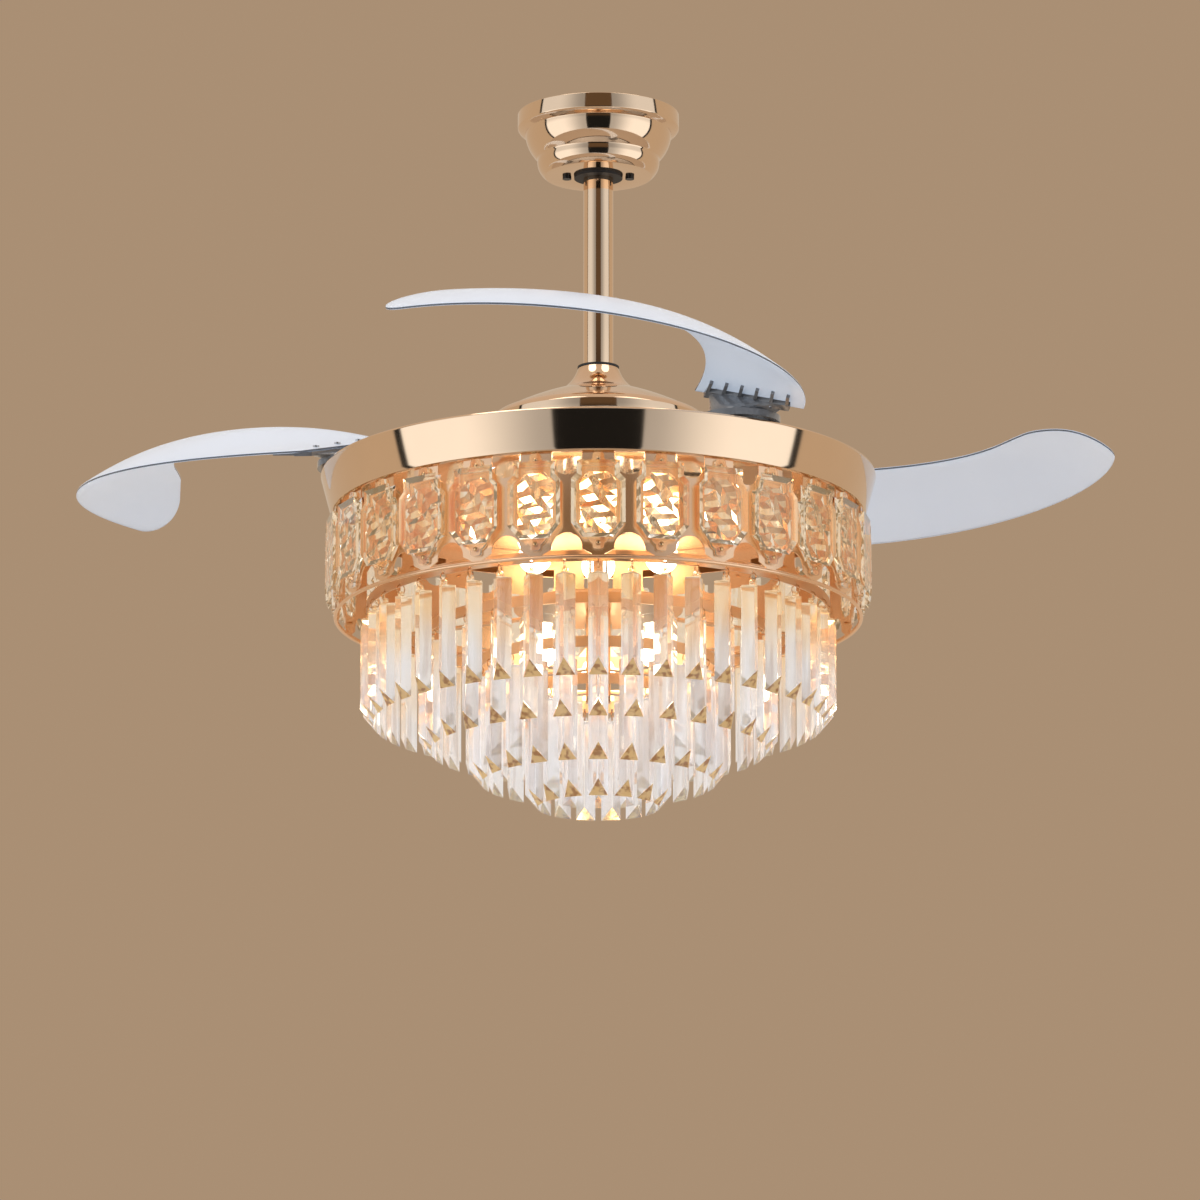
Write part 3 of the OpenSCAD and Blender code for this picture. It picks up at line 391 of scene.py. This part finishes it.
# A hollow neck down to the shoulder, a domed skirt to the brow, a rounded edge and a straight lip
cover_line = (
    points((rod_r + 1, cover_top), (NECK_R, cover_top))
    + bow(Vector((NECK_R + 0.3, cover_top - 1)), shoulder, -2.2)
    + bow(shoulder + Vector((2, -0.9)), brow, 1.2)
    + bow(brow + Vector((1.3, -0.9)), Vector((cover_r, plate_z - 3)), 1.6)
    + points((cover_r, cover_low.z))
)
cover_shell = spun(shell(cover_line, SHEET_T))
piece("motor_cover_shell", cover_shell, rose_gold, "fixed_frame", "rose_gold", "motor_cover")

ring_low, ring_high = millimetres("lamp_pan")
ring_r, ring_top, ring_base = ring_high.x, ring_high.z, ring_low.z
under_z = millimetres("shaft_nut")[1].z
BAND_TAPER, LIP_R = 8.5, 237.4
SHAFT_HOLE_R, PAN_FLOOR_R = 11.1, 244.5
# The band leans in towards its foot, where it turns in to a narrow lip; the pan's floor closes it
band_line = points(
    (ring_r - 1.8, ring_top), (ring_r - 0.5, ring_top - 0.5), (ring_r, ring_top - 2),
    (ring_r - BAND_TAPER, ring_base + 4), (ring_r - BAND_TAPER - 1.2, ring_base + 0.8), (LIP_R, ring_base),
)
pan_floor = points((SHAFT_HOLE_R, under_z), (PAN_FLOOR_R, under_z),
                   (PAN_FLOOR_R, under_z + SHEET_T), (SHAFT_HOLE_R, under_z + SHEET_T))
lamp_ring = spun(shell(band_line, SHEET_T), pan_floor)
piece("lamp_ring", lamp_ring, rose_gold, "fixed_frame", "rose_gold", "lamp_pan")

# ---- Drum ----
# A rolled steel band with windows behind the plaques, tongue shaped holes between them and arches along its
# foot, closed at the bottom by a wire hoop. The holes are punched, so their walls show as thin gold rims.


def encloses(loop, spot):
    """Whether a spot is inside a closed outline."""
    within = False
    for i, p in enumerate(loop):
        q = loop[i - 1]
        if (p.y > spot.y) != (q.y > spot.y):
            if spot.x < p.x + (q.x - p.x) * (spot.y - p.y) / (q.y - p.y):
                within = not within
    return within


def plate(loops, low, high, place, creases=(), seam=None):
    """A closed sheet between two heights, cut by the first outline and pierced by the rest.

    place turns across, up and out into a point. Lines that are seam away from the middle get no wall."""
    spots, edges = [], []
    for loop in loops:
        first = len(spots)
        spots += loop
        edges += [(first + i, first + (i + 1) % len(loop)) for i in range(len(loop))]
    for a, b in creases:
        edges.append((len(spots), len(spots) + 1))
        spots += [a, b]
    spots, _, cells, *_ = delaunay_2d_cdt([Vector(s) for s in spots], edges, [], 0, 1e-6)
    kept = []
    for cell in cells:
        middle = sum((spots[i] for i in cell), Vector((0, 0))) / len(cell)
        if sum(encloses(loop, middle) for loop in loops) == 1:
            kept.append(cell)
    made = bmesh.new()
    under = [made.verts.new(place(s.x, s.y, low)) for s in spots]
    over = [made.verts.new(place(s.x, s.y, high)) for s in spots]
    for cell in kept:
        made.faces.new([over[i] for i in cell])
        made.faces.new([under[i] for i in reversed(cell)])
    used = {}
    for cell in kept:
        for a, b in zip(cell, [*cell[1:], cell[0]]):
            used[frozenset((a, b))] = used.get(frozenset((a, b)), 0) + 1
    for cell in kept:
        for a, b in zip(cell, [*cell[1:], cell[0]]):
            on_seam = seam and all(abs(abs(spots[i].x) - seam) < 1e-4 for i in (a, b))
            if used[frozenset((a, b))] == 1 and not on_seam:
                made.faces.new((under[a], under[b], over[b], over[a]))
    bmesh.ops.delete(made, geom=[v for v in made.verts if not v.link_faces], context="VERTS")
    return made


def ring_tree():
    """A node tree that repeats a piece round the fan's axis."""
    tree = bpy.data.node_groups.new("ring_of_pieces", "GeometryNodeTree")
    sheet = Sheet(tree)
    for name, kind in (("Piece", "Object"), ("Count", "Int"), ("Start", "Float"), ("Finish", "Material")):
        tree.interface.new_socket(name, in_out="INPUT", socket_type="NodeSocket" + kind)
    tree.interface.new_socket("Ring", in_out="OUTPUT", socket_type="NodeSocketGeometry")
    given = sheet.add("NodeGroupInput").socket.node.outputs
    item, count, start, finish = (Wire(sheet, given[k]) for k in range(4))
    turn = start + sheet.add("GeometryNodeInputIndex") * sheet.maths("DIVIDE", 2 * math.pi, count)
    spin = sheet.add("ShaderNodeCombineXYZ", None, {"Z": turn})
    shape = sheet.add("GeometryNodeObjectInfo", None, {"Object": item}, "Geometry")
    seats = sheet.add("GeometryNodePoints", None, {"Count": count})
    seated = {"Points": seats, "Instance": shape, "Rotation": spin}
    ring = sheet.add("GeometryNodeInstanceOnPoints", None, seated)
    ring = sheet.add("GeometryNodeRealizeInstances", None, {"Geometry": ring})
    ring = sheet.add("GeometryNodeSetMaterial", None, {"Geometry": ring, "Material": finish})
    sheet.add("NodeGroupOutput", None, {"Ring": ring})
    return tree


RING_TREE = ring_tree()


def ring_of(mesh, count, start, material):
    """A mesh repeated round the axis, from a bearing in degrees, as one plain mesh."""
    item = bpy.data.objects.new("item", mesh)
    holder = bpy.data.objects.new("holder", bpy.data.meshes.new("holder"))
    bpy.context.collection.objects.link(holder)
    modifier = holder.modifiers.new("ring", "NODES")
    modifier.node_group = RING_TREE
    names = {s.name: s.identifier for s in RING_TREE.interface.items_tree if s.in_out == "INPUT"}
    modifier[names["Piece"]] = item
    modifier[names["Count"]] = count
    modifier[names["Start"]] = math.radians(start)
    modifier[names["Finish"]] = material
    depsgraph = bpy.context.evaluated_depsgraph_get()
    made = bpy.data.meshes.new_from_object(holder.evaluated_get(depsgraph))
    bpy.data.objects.remove(holder)
    bpy.data.objects.remove(item)
    return made


def joined(*meshes):
    """Several meshes as one."""
    made = bmesh.new()
    for mesh in meshes:
        made.from_mesh(mesh)
    mesh = bpy.data.meshes.new("piece")
    made.to_mesh(mesh)
    made.free()
    return mesh


def arc(centre, radius, start, end, count):
    """Points on an arc between two angles in degrees, in that number of steps."""
    turns = [math.radians(start + (end - start) * k / count) for k in range(count + 1)]
    return [Vector(centre) + radius * Vector((math.cos(t), math.sin(t))) for t in turns]


DRUM_R, DRUM_H = 236.0, 115
PLAQUES, PLAQUE_DROP = 27, 0.8
drum_foot = under_z - DRUM_H
plaque_z = ring_base - PLAQUE_DROP
half_pitch = math.pi * DRUM_R / PLAQUES
WINDOW_W, WINDOW_TOP, WINDOW_LOW = 32, 17, 75
HEAD_CUT, FOOT_CUT = 8, 10


def half_window(mirror):
    """The side of a window that lies on one edge of the drum's sector, from its foot up."""
    half = WINDOW_W / 2
    side = points((0, -WINDOW_LOW), (half / 2, -WINDOW_LOW), (half, FOOT_CUT - WINDOW_LOW),
                  (half, -WINDOW_TOP - HEAD_CUT), (half / 2, -WINDOW_TOP), (0, -WINDOW_TOP))
    return [Vector((mirror * (half_pitch - p.x), plaque_z + p.y)) for p in side]


sector = (
    points((-half_pitch, drum_foot), (half_pitch, drum_foot)) + half_window(1)
    + points((half_pitch, under_z), (-half_pitch, under_z)) + half_window(-1)[::-1]
)
TAB_W, TAB_LOW, TAB_HEAD = 27, 19, 8
tab = (
    arc((0, plaque_z - TAB_LOW + TAB_W / 2), TAB_W / 2, 180, 360, 16)
    + points((TAB_W / 2, plaque_z + TAB_HEAD), (-TAB_W / 2, plaque_z + TAB_HEAD))
)
DOME_W, DOME_H = 27, 20
DOME_FOOT_W, DOME_FLARE, DOME_SILL = 45, 5, 2.2
dome_foot = drum_foot + DOME_SILL
dome = (
    points((-DOME_FOOT_W / 2, dome_foot), (DOME_FOOT_W / 2, dome_foot), (DOME_W / 2, dome_foot + DOME_FLARE))
    + arc((0, dome_foot + DOME_H - DOME_W / 2), DOME_W / 2, 0, 180, 16)
    + points((-DOME_W / 2, dome_foot + DOME_FLARE))
)


def on_drum(across, up, out):
    """A point on the drum's wall, at the bearing of the sector's middle."""
    turn, r = across / DRUM_R, (DRUM_R + out) * MM
    return Vector((r * math.cos(turn), r * math.sin(turn), up * MM))


STRIPS = 14
creases = []
for k in range(1, STRIPS):
    across = half_pitch * (2 * k / STRIPS - 1)
    creases.append((Vector((across, drum_foot)), Vector((across, under_z))))
wall = meshed(plate([sector, tab, dome], -SHEET_T, 0, on_drum, creases, half_pitch))
wall = ring_of(wall, PLAQUES, -90 + 180 / PLAQUES, rose_gold_satin)
welded = bmesh.new()
welded.from_mesh(wall)
bmesh.ops.remove_doubles(welded, verts=welded.verts, dist=2e-5)
wall = meshed(welded, 40)
FLANGE_IN, FLANGE_GAP, SHEET_GAP = 221.8, 0.6, 0.05
HOOP_R = 1.6
flange_low, flange_high, flange_out = under_z - SHEET_T, under_z - SHEET_GAP, DRUM_R - FLANGE_GAP
flange = points((FLANGE_IN, flange_low), (flange_out, flange_low),
                (flange_out, flange_high), (FLANGE_IN, flange_high))
hoop = arc((DRUM_R, drum_foot), HOOP_R, 0, 345, 23)
trim = spun(flange, hoop, soft=0)
piece("drum_shell", joined(wall, trim), rose_gold_satin, "fixed_frame", "rose_gold", "drum")

# ---- Glass plaques and their pins ----
# Pressed and cut crystal: a thick body with a raised table and sloping facets, and a thin ear at each end.
# A gold pin through each ear holds the plaque to the drum.


def cut_glass(name, warm_z, cool_z, glow, clarity):
    """Clear lead crystal, warm from the lamp above the height warm_z, and cool and white below cool_z.

    A face marked as foot is a slanting cut, painted as metallic gold: a painted reflection of the gold drum
    above it."""
    def draw(s):
        spot = s.add("ShaderNodeTexCoord", output="Object")
        z = s.add("ShaderNodeSeparateXYZ", None, {0: spot}, 2)
        cool = s.step(z + s.noise(25, 2) * 0.06 - 0.03, warm_z, cool_z)
        # Painted light: the glass glows faintly, in brighter and duller streaks, as if lit from within by the
        # lamp
        painted_glow_streaks = s.step(s.noise(90, 2, (1, 1, 0.12)), 0.35, 0.65)
        clear = s.blend(cool, (1.0, 0.90, 0.74), (0.96, 0.97, 1.0))
        foot = s.add("ShaderNodeAttribute", {"attribute_name": "foot"}, output="Fac")
        # Painted reflection: the foot face is painted as gold metal with dark and bright patches, for the
        # drum it mirrors
        gold = s.blend(s.step(s.noise(170, 2), 0.36, 0.54), (0.50, 0.24, 0.06), (1.0, 0.76, 0.36))
        # Painted reflection: patches of amber above and grey below, for what the facets reflect
        painted_reflection_patches = s.step(s.noise(75, 3, (1, 1, 0.1)), 0.52, 0.60)
        clear = s.blend(painted_reflection_patches, clear, s.blend(cool, (0.92, 0.66, 0.40), (0.72, 0.66, 0.64)))
        lit = s.blend(painted_glow_streaks, s.blend(cool, (1.0, 0.64, 0.32), (0.85, 0.74, 0.62)),
                      s.blend(cool, (1.0, 0.80, 0.48), (0.88, 0.94, 1.0)))
        return {
            "base_color": s.blend(foot, clear, gold),
            "metallic": foot,
            "roughness": 0.02 + foot * 0.1,
            "ior": 1.54,
            "transmission_weight": clarity,
            "emission_color": lit,
            "emission_strength": glow,
        }
    return surface(name, draw)


plaque_glass = cut_glass("plaque_glass", -0.44, -0.50, 0.035, 0.98)
PLAQUE_GAP, EAR_T, PLAQUE_T = 0.3, 3.0, 8.0
plaque_back = DRUM_R + PLAQUE_GAP


def at_front(across, up, out):
    """A point of a plaque at bearing 0: across, below the top of its ear, and out from its back."""
    return Vector(((plaque_back + out) * MM, across * MM, (plaque_z + up) * MM))


def mirrored(half):
    """A closed outline from its right half, listed from the top down."""
    return half + [Vector((-p.x, p.y)) for p in reversed(half)]


def drawn_in(loop, by):
    """A convex outline with every side moved in by the same distance."""
    made = []
    for i, p in enumerate(loop):
        into, out = (p - loop[i - 1]).normalized(), (loop[(i + 1) % len(loop)] - p).normalized()
        corner = Vector((into.y + out.y, -into.x - out.x))
        corner *= 1 / max(0.3, corner.length_squared / 2)
        made.append(p + corner * by)
    return made


CUT_PITCH, CUT_MIDDLE = 10.0, -44
CUT_ROWS, CUT_COLUMNS = 9, 6
CUT_DRIFT, CUT_MARGIN = 1.3, 2


def gem(loop, levels, dent):
    """A closed stone with a back cut in facets.

    Each level says how far the outline is drawn in at which distance out, from the rim of the back to the
    table. The corners of the back's facets stand a little off a regular grid, and every other row is sunk."""
    made = bmesh.new()
    rings = []
    for by, out in levels:
        rings.append([made.verts.new(at_front(p.x, p.y, out)) for p in drawn_in(loop, by)])
    skin(made, rings)
    made.faces.new(rings[-1])
    outline = drawn_in(loop, levels[0][0])
    inside = drawn_in(loop, levels[0][0] + CUT_MARGIN)
    count = len(loop)
    spots = list(outline)
    half = CUT_PITCH / 2
    for row in range(-CUT_ROWS, CUT_ROWS + 1):
        for column in range(row % 2 - CUT_COLUMNS, CUT_COLUMNS + 1, 2):
            drift = CUT_DRIFT * Vector((math.sin(5 * row + 3 * column), math.cos(4 * row - 2 * column)))
            spot = Vector((column * half, row * half + CUT_MIDDLE)) + drift
            if encloses(inside, spot):
                spots.append(spot)
    edges = [(i, (i + 1) % count) for i in range(count)]
    spots, _, cells, *_ = delaunay_2d_cdt(spots, edges, [], 1, 1e-6)
    back = list(rings[0])
    for spot in spots[count:]:
        sunk = round((spot.y - CUT_MIDDLE) / half) % 2 * (0.8 + 0.4 * math.sin(spot.x + spot.y))
        back.append(made.verts.new(at_front(spot.x, spot.y, dent * sunk)))
    for cell in cells:
        made.faces.new([back[i] for i in cell])
    bmesh.ops.recalc_face_normals(made, faces=made.faces)
    return meshed(made, 5)


BODY_HALF = points((14.3, -12.8), (14.3, -22), (19.2, -27), (19.2, -63), (11.3, -73))
BODY_LEVELS = [(4.2, 0.0), (0.5, 0.0), (0, 0.5), (0, 3.2), (4.6, PLAQUE_T)]
BACK_DENT = 2.0
plaque_body = gem(mirrored(BODY_HALF)[::-1], BODY_LEVELS, BACK_DENT)
PIN_HOLE_R, EAR_HOLES = 1.25, (6, 81)
EAR_CORNER, EAR_LOW = 2.5, 87
top_ear = mirrored(
    points((0, 0), (EAR_CORNER, 0))
    + arc((EAR_CORNER, -EAR_CORNER), EAR_CORNER, 90, 0, 4)
    + bow(Vector((5.2, -5)), Vector((14.3, -11.6)), -1.6, 6)
    + points((14.3, -12.7))
)
low_ear = mirrored(
    points((11.2, -73.1))
    + bow(Vector((10.6, -73.8)), Vector((5, -82)), 1.2, 6)
    + arc((EAR_CORNER, EAR_CORNER - EAR_LOW), EAR_CORNER, 0, -90, 4)
    + points((0, -EAR_LOW))
)
ears = [
    meshed(plate([loop, arc((0, -hole), PIN_HOLE_R, 0, 330, 11)], 0, EAR_T, at_front), 20)
    for loop, hole in zip((top_ear, low_ear), EAR_HOLES)
]
plaque_ring = ring_of(joined(plaque_body, *ears), PLAQUES, -90, plaque_glass)
piece("plaque_stones", plaque_ring, plaque_glass, "fixed_frame", "cut_glass", "plaques")

PIN_R, PIN_LENGTH, PIN_SIDES = 1.2, 7.0, 12
PIN_HEAD_R, PIN_HEAD_H = 2.2, 1.1
ear_front = plaque_back + EAR_T


def domed_pin(z):
    """A pin along the radius at bearing 0, at that height, with its domed head on the front of the ear."""
    made = bmesh.new()
    tip, on_axis = ear_front - PIN_LENGTH, 0.001
    profile = [(tip, on_axis), (tip, PIN_R), (ear_front, PIN_R), (ear_front, PIN_HEAD_R)]
    for t in (0.35, 0.7, 1.05, 1.35):
        profile.append((ear_front + PIN_HEAD_H * math.sin(t), PIN_HEAD_R * math.cos(t)))
    profile.append((ear_front + PIN_HEAD_H, on_axis))
    rings = []
    for x, r in profile:
        turns = [2 * math.pi * k / PIN_SIDES for k in range(PIN_SIDES)]
        spots = [(x * MM, r * math.cos(t) * MM, (z + r * math.sin(t)) * MM) for t in turns]
        rings.append([made.verts.new(spot) for spot in spots])
    skin(made, rings)
    bmesh.ops.remove_doubles(made, verts=made.verts, dist=5e-6)
    bmesh.ops.recalc_face_normals(made, faces=made.faces)
    return meshed(made, 40)


pins = joined(*[domed_pin(plaque_z - hole) for hole in EAR_HOLES])
pin_ring = ring_of(pins, PLAQUES, -90, rose_gold_trim)
piece("plaque_rivets", pin_ring, rose_gold_trim, "fixed_frame", "rose_gold_trim", "plaque_pins")

# ---- Prisms and their links ----
# Drawn three sided crystal bars with a slanting cut at the foot. Each hangs by a drilled tongue from one
# closed wire link, which hangs in a hole of the gold tier above it.

prism_glass = cut_glass("prism_glass", -0.48, -0.55, 0.085, 0.90)
PRISM_W, PRISM_D, PRISM_CUT, PRISM_EDGE = 18.0, 12.0, 14.0, 0.3
TONGUE_W, TONGUE_T, TONGUE_H = 6.0, 3.0, 5.0
TONGUE_CORNER, TONGUE_GAP = 1.5, 0.02
LINK_HOLE_R, LINK_HOLE_Z = 1.3, -2.3


def prism(r, top, foot):
    """One prism at bearing 0, with its flat back to the axis and its ridge outwards."""
    made = bmesh.new()
    corners = [(-PRISM_D / 2, -PRISM_W / 2, 0), (PRISM_D / 2, 0, PRISM_CUT), (-PRISM_D / 2, PRISM_W / 2, 0)]
    ends = []
    for z, cut in ((foot, 1), (top - TONGUE_H - TONGUE_GAP, 0)):
        spots = [((r + x) * MM, y * MM, (z + rise * cut) * MM) for x, y, rise in corners]
        ends.append([made.verts.new(spot) for spot in spots])
    foot_mark = made.faces.layers.float.new("foot")
    made.faces.new(ends[0][::-1])[foot_mark] = 1
    made.faces.new(ends[1])
    skin(made, ends)
    bmesh.ops.bevel(made, geom=made.edges[:], offset=PRISM_EDGE * MM, segments=1, affect="EDGES")
    bmesh.ops.recalc_face_normals(made, faces=made.faces)
    half, flat = TONGUE_W / 2, TONGUE_W / 2 - TONGUE_CORNER
    outline = points((-half, -TONGUE_H), (half, -TONGUE_H), (half, -TONGUE_CORNER),
                     (flat, 0), (-flat, 0), (-half, -TONGUE_CORNER))
    hole = arc((0, LINK_HOLE_Z), LINK_HOLE_R, 0, 315, 7)
    tongue = plate([outline, hole], -TONGUE_T / 2, TONGUE_T / 2,
                   lambda across, up, out: Vector(((r + out) * MM, across * MM, (top + up) * MM)))
    return joined(meshed(made, 5), meshed(tongue, 20))


LINK_R, LINK_WIRE, LINK_UP = 4.0, 0.5, 2.05
LINK_STEPS, WIRE_SIDES = 20, 6


def wire_link(r, height):
    """One closed wire ring at bearing 0, standing along the radius, with its middle at that height."""
    made = bmesh.new()
    rings = []
    for i in range(LINK_STEPS):
        a = 2 * math.pi * i / LINK_STEPS
        ring = []
        for j in range(WIRE_SIDES):
            b = 2 * math.pi * j / WIRE_SIDES
            out = LINK_R + LINK_WIRE * math.cos(b)
            spot = Vector((r + out * math.cos(a), LINK_WIRE * math.sin(b), height + out * math.sin(a)))
            ring.append(made.verts.new(spot * MM))
        rings.append(ring)
    skin(made, rings, closed=True)
    bmesh.ops.recalc_face_normals(made, faces=made.faces)
    return meshed(made)


TIER_COUNTS = (44, 30, 24, 15)
link_rings = []
for k, count in enumerate(TIER_COUNTS):
    node = f"prisms_{k + 1}"
    low, high = millimetres(node)
    tier_r = -low.y - PRISM_D / 2
    ring = ring_of(prism(tier_r, high.z, low.z), count, -90, prism_glass)
    piece(f"prism_ring_{k + 1}", ring, prism_glass, "fixed_frame", "cut_glass", node)
    link_rings.append(ring_of(wire_link(tier_r, high.z + LINK_UP), count, -90, rose_gold_trim))
piece("link_rings", joined(*link_rings), rose_gold_trim, "fixed_frame", "rose_gold_trim", "prism_links")

# ---- Blades ----
# Thermoformed crescents of frosted acrylic, cupped across their width, with a ground edge. The bracket at the
# root is moulded in smoked plastic, and three screws hold the blade to it.

PIVOT_R, PIVOT_TURN = 217.4, math.radians(4.9)
PIVOT = PIVOT_R * Vector((math.cos(PIVOT_TURN), math.sin(PIVOT_TURN), 0))
BLADE_T, CAMBER, CAMBER_RAMP = 2.6, 9.6, 0.28
TRAY_Z = millimetres("rotor_lower_housing")[0].z
# Each edge: centre, radius, angles at root and tip, and its height above the tray at root, thirds and tip
OUTER = (Vector((187.8, -175.6)), 243.3, 68.5, -64.2, (8.3, 14, 27.6, 31.9))
INNER = (Vector((159.3, -186.9)), 179.1, 81.5, -27.3, (39, 56.3, 60, 63.4))
# Each corner of the tip: the share of the length and the share of the width that it rounds off
OUTER_CORNER = (0.093, 0.54)
INNER_CORNER = (0.068, 0.18)


def edge_point(edge, q):
    """A point of an edge: q runs from 0 at the root to 1 at the tip."""
    centre, radius, root, tip, (a, b, c, d) = edge
    turn = math.radians(root + (tip - root) * q)
    rise = (a * (1 - 3 * q) * (2 - 3 * q) * (1 - q) / 2 + b * 9 * q * (2 - 3 * q) * (1 - q) / 2
            - c * 9 * q * (1 - 3 * q) * (1 - q) / 2 + d * q * (1 - 3 * q) * (2 - 3 * q) / 2)
    return Vector((centre.x + radius * math.cos(turn), centre.y + radius * math.sin(turn), TRAY_Z + rise))


def round_off(corner, q):
    """The share of the width that a rounded corner takes away at q."""
    length, share = corner
    u = max(0, (q - 1 + length) / length)
    return share * (1 - math.sqrt(max(0, 1 - u * u)))


def blade_point(q, t):
    """A point of the blade's middle surface: t runs from the outer edge to the inner edge."""
    cut_outer, cut_inner = round_off(OUTER_CORNER, q), round_off(INNER_CORNER, q)
    u = cut_outer + (1 - cut_outer - cut_inner) * t
    ramp = min(1, q / CAMBER_RAMP)
    lift = CAMBER * ramp * ramp * (3 - 2 * ramp) * 4 * u * (1 - u)
    return edge_point(OUTER, q).lerp(edge_point(INNER, q), u) + Vector((0, 0, lift))


# The rows of corners lie closer together towards the edges and the tip, and stop just short of both. The
# sheet's thickness goes down over its last two rows.
ALONG, ACROSS = 160, 36
SPREAD = [0.5 - 0.498 * math.cos(math.pi * j / ACROSS) for j in range(ACROSS + 1)]
REACH = [0.9995 * math.sin(0.5 * math.pi * i / ALONG) for i in range(ALONG + 1)]
EDGE_EASE = (0.62, 0.9)


def blade_sheet(bearing, fold):
    """A blade as a closed sheet with rounded edges, placed at its pivot and turned to its resting place."""
    made = bmesh.new()
    rim = made.faces.layers.float.new("rim")
    sides = []
    for side in (-1, 1):
        grid = []
        for i, q in enumerate(REACH):
            row = []
            for j, t in enumerate(SPREAD):
                edge = min(i, ALONG - i, j, ACROSS - j)
                half = BLADE_T / 2 * EDGE_EASE[edge] if edge < 2 else BLADE_T / 2
                spot = blade_point(q, t) + Vector((0, 0, side * half)) - PIVOT
                spot.rotate(Euler((0, 0, math.radians(fold))))
                spot += PIVOT
                spot.rotate(Euler((0, 0, math.radians(bearing))))
                row.append(made.verts.new(spot * MM))
            grid.append(row)
        sides.append(grid)
    low, high = sides
    for i in range(ALONG):
        for j in range(ACROSS):
            made.faces.new((low[i][j], low[i][j + 1], low[i + 1][j + 1], low[i + 1][j]))
            made.faces.new((high[i][j], high[i + 1][j], high[i + 1][j + 1], high[i][j + 1]))
    loop = [(0, j) for j in range(ACROSS)] + [(i, ACROSS) for i in range(ALONG)]
    loop += [(ALONG, j) for j in range(ACROSS, 0, -1)] + [(i, 0) for i in range(ALONG, 0, -1)]
    for (a, b), (c, d) in zip(loop, loop[1:] + loop[:1]):
        made.faces.new((low[a][b], high[a][b], high[c][d], low[c][d]))[rim] = 1
    bmesh.ops.recalc_face_normals(made, faces=made.faces)
    return meshed(made, 50)


def frosted(s):
    """Frosted acrylic with a faint painted glow, for the lamp's light that scatters in it, and a ground rim
    painted dark, a painted shade for the dark line along its edge.
    """
    speck = s.noise(420, 3)
    rim = s.add("ShaderNodeAttribute", {"attribute_name": "rim"}, output="Fac")
    sheet = s.blend(s.noise(6, 2), (0.82, 0.84, 0.87), (0.88, 0.89, 0.92))
    return {
        # Painted shade: the rim is painted near black, for the dark line that the sheet's edge shows
        "base_color": s.blend(rim, sheet, (0.10, 0.10, 0.11)),
        "roughness": 0.20 + speck * 0.08,
        "transmission_weight": 0.36,
        "ior": 1.49,
        # Painted light: a faint cool glow on the sheet, and none on the rim
        "emission_color": s.blend(rim, (0.50, 0.64, 0.82), (0.0, 0.0, 0.0)),
        "emission_strength": 0.22,
        "normal": s.bump(s.noise(30, 1), 0.02 * MM),
    }


frosted_blade = surface("frosted_blade", frosted)
# Each blade: its place round the axis, and how far it stands open from folded, in degrees. The outline is
# drawn as it lies when a blade is 68 degrees open.
BLADES = {"front": (-60, 64.5), "left": (180, 82.7), "back": (60, 59.3)}
FOLD_TURN = -68
for name, (bearing, opening) in BLADES.items():
    sheet = blade_sheet(bearing, FOLD_TURN + opening)
    piece(f"blade_sheet_{name}", sheet, frosted_blade, f"blade_{name}", "frosted_blade", f"blade_{name}")
smoked_plastic = surface("smoked_plastic", lambda s: {
    "base_color": s.blend(s.noise(18, 2), (0.15, 0.155, 0.165), (0.22, 0.225, 0.235)),
    "roughness": 0.16 + s.noise(300, 2) * 0.08,
    "coat_weight": 0.6,
    "ior": 1.49,
})

# ---- Pieces that keep their CAD shape ----
# Motor, bearings, fasteners, lamp gear and wiring. Most of them are out of sight, and each kind has its own
# finish.


def plain(name, colour, roughness, metallic=0.0, grain=200, depth=0.02):
    """A finish with a slight drift of tone and a fine grain."""
    darker = tuple(0.82 * c for c in colour)
    return surface(name, lambda s: {
        "base_color": s.blend(s.noise(grain / 6, 3), colour, darker),
        "metallic": metallic,
        "roughness": roughness + s.noise(grain, 2) * 0.1,
        "normal": s.bump(s.noise(grain * 3, 3), depth * MM),
    })


def dress(material, *names):
    """Gives a finish to CAD nodes that keep their shape."""
    for name in names:
        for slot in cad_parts[name].material_slots:
            slot.material = material


black_rubber = plain("black_rubber", (0.016, 0.016, 0.018), 0.5)
black_screw = plain("black_screw", (0.03, 0.03, 0.032), 0.3, 0.6)
screw_steel = plain("screw_steel", (0.60, 0.60, 0.61), 0.22, 1.0)
cast_aluminium = plain("cast_aluminium", (0.55, 0.56, 0.57), 0.42, 1.0, 500, 0.08)
copper_winding = plain("copper_winding", (0.62, 0.25, 0.10), 0.28, 1.0, 700, 0.1)
white_plastic = plain("white_plastic", (0.80, 0.79, 0.76), 0.4)
tier_gold = plated("tier_gold", (0.86, 0.58, 0.36), 0.36, 0.05)
bulb_glow = surface("bulb_glow", lambda s: {
    "base_color": (1.0, 0.93, 0.8),
    "roughness": 0.15,
    "emission_color": s.blend(s.noise(40, 1), (1.0, 0.84, 0.58), (1.0, 0.89, 0.68)),
    "emission_strength": 10.0,
})

dress(black_rubber, "canopy_ring", "gasket_ring", "stop_buffers", "motor_lead")
dress(black_screw, "canopy_screws", "terminal_block", "hanger_ball", "magnet_ring")
dress(screw_steel, "hanger_bracket", "rod_pins", "shaft_coupling", "motor_shaft", "motor_screws", "shaft_nut")
dress(screw_steel, "pan_screws", "stem_nut", "rotor_screws", "return_springs", "frame_stem")
dress(screw_steel, "bearing_inner_races", "bearing_outer_races", "bearing_balls")
dress(cast_aluminium, "stator_core", "cover_plate")
dress(cast_aluminium, "rotor_upper_housing", "rotor_lower_housing", "blade_tray")
dress(copper_winding, "stator_windings")
dress(white_plastic, "lamp_sockets", "driver_box", "remote_receiver")
dress(tier_gold, "tier_frame_1", "tier_frame_2", "tier_frame_3", "tier_frame_4")
dress(bulb_glow, "bulbs")
for name in BLADES:
    dress(smoked_plastic, "blade_bracket_" + name)
    dress(screw_steel, "blade_screws_" + name, "pivot_bolt_" + name)
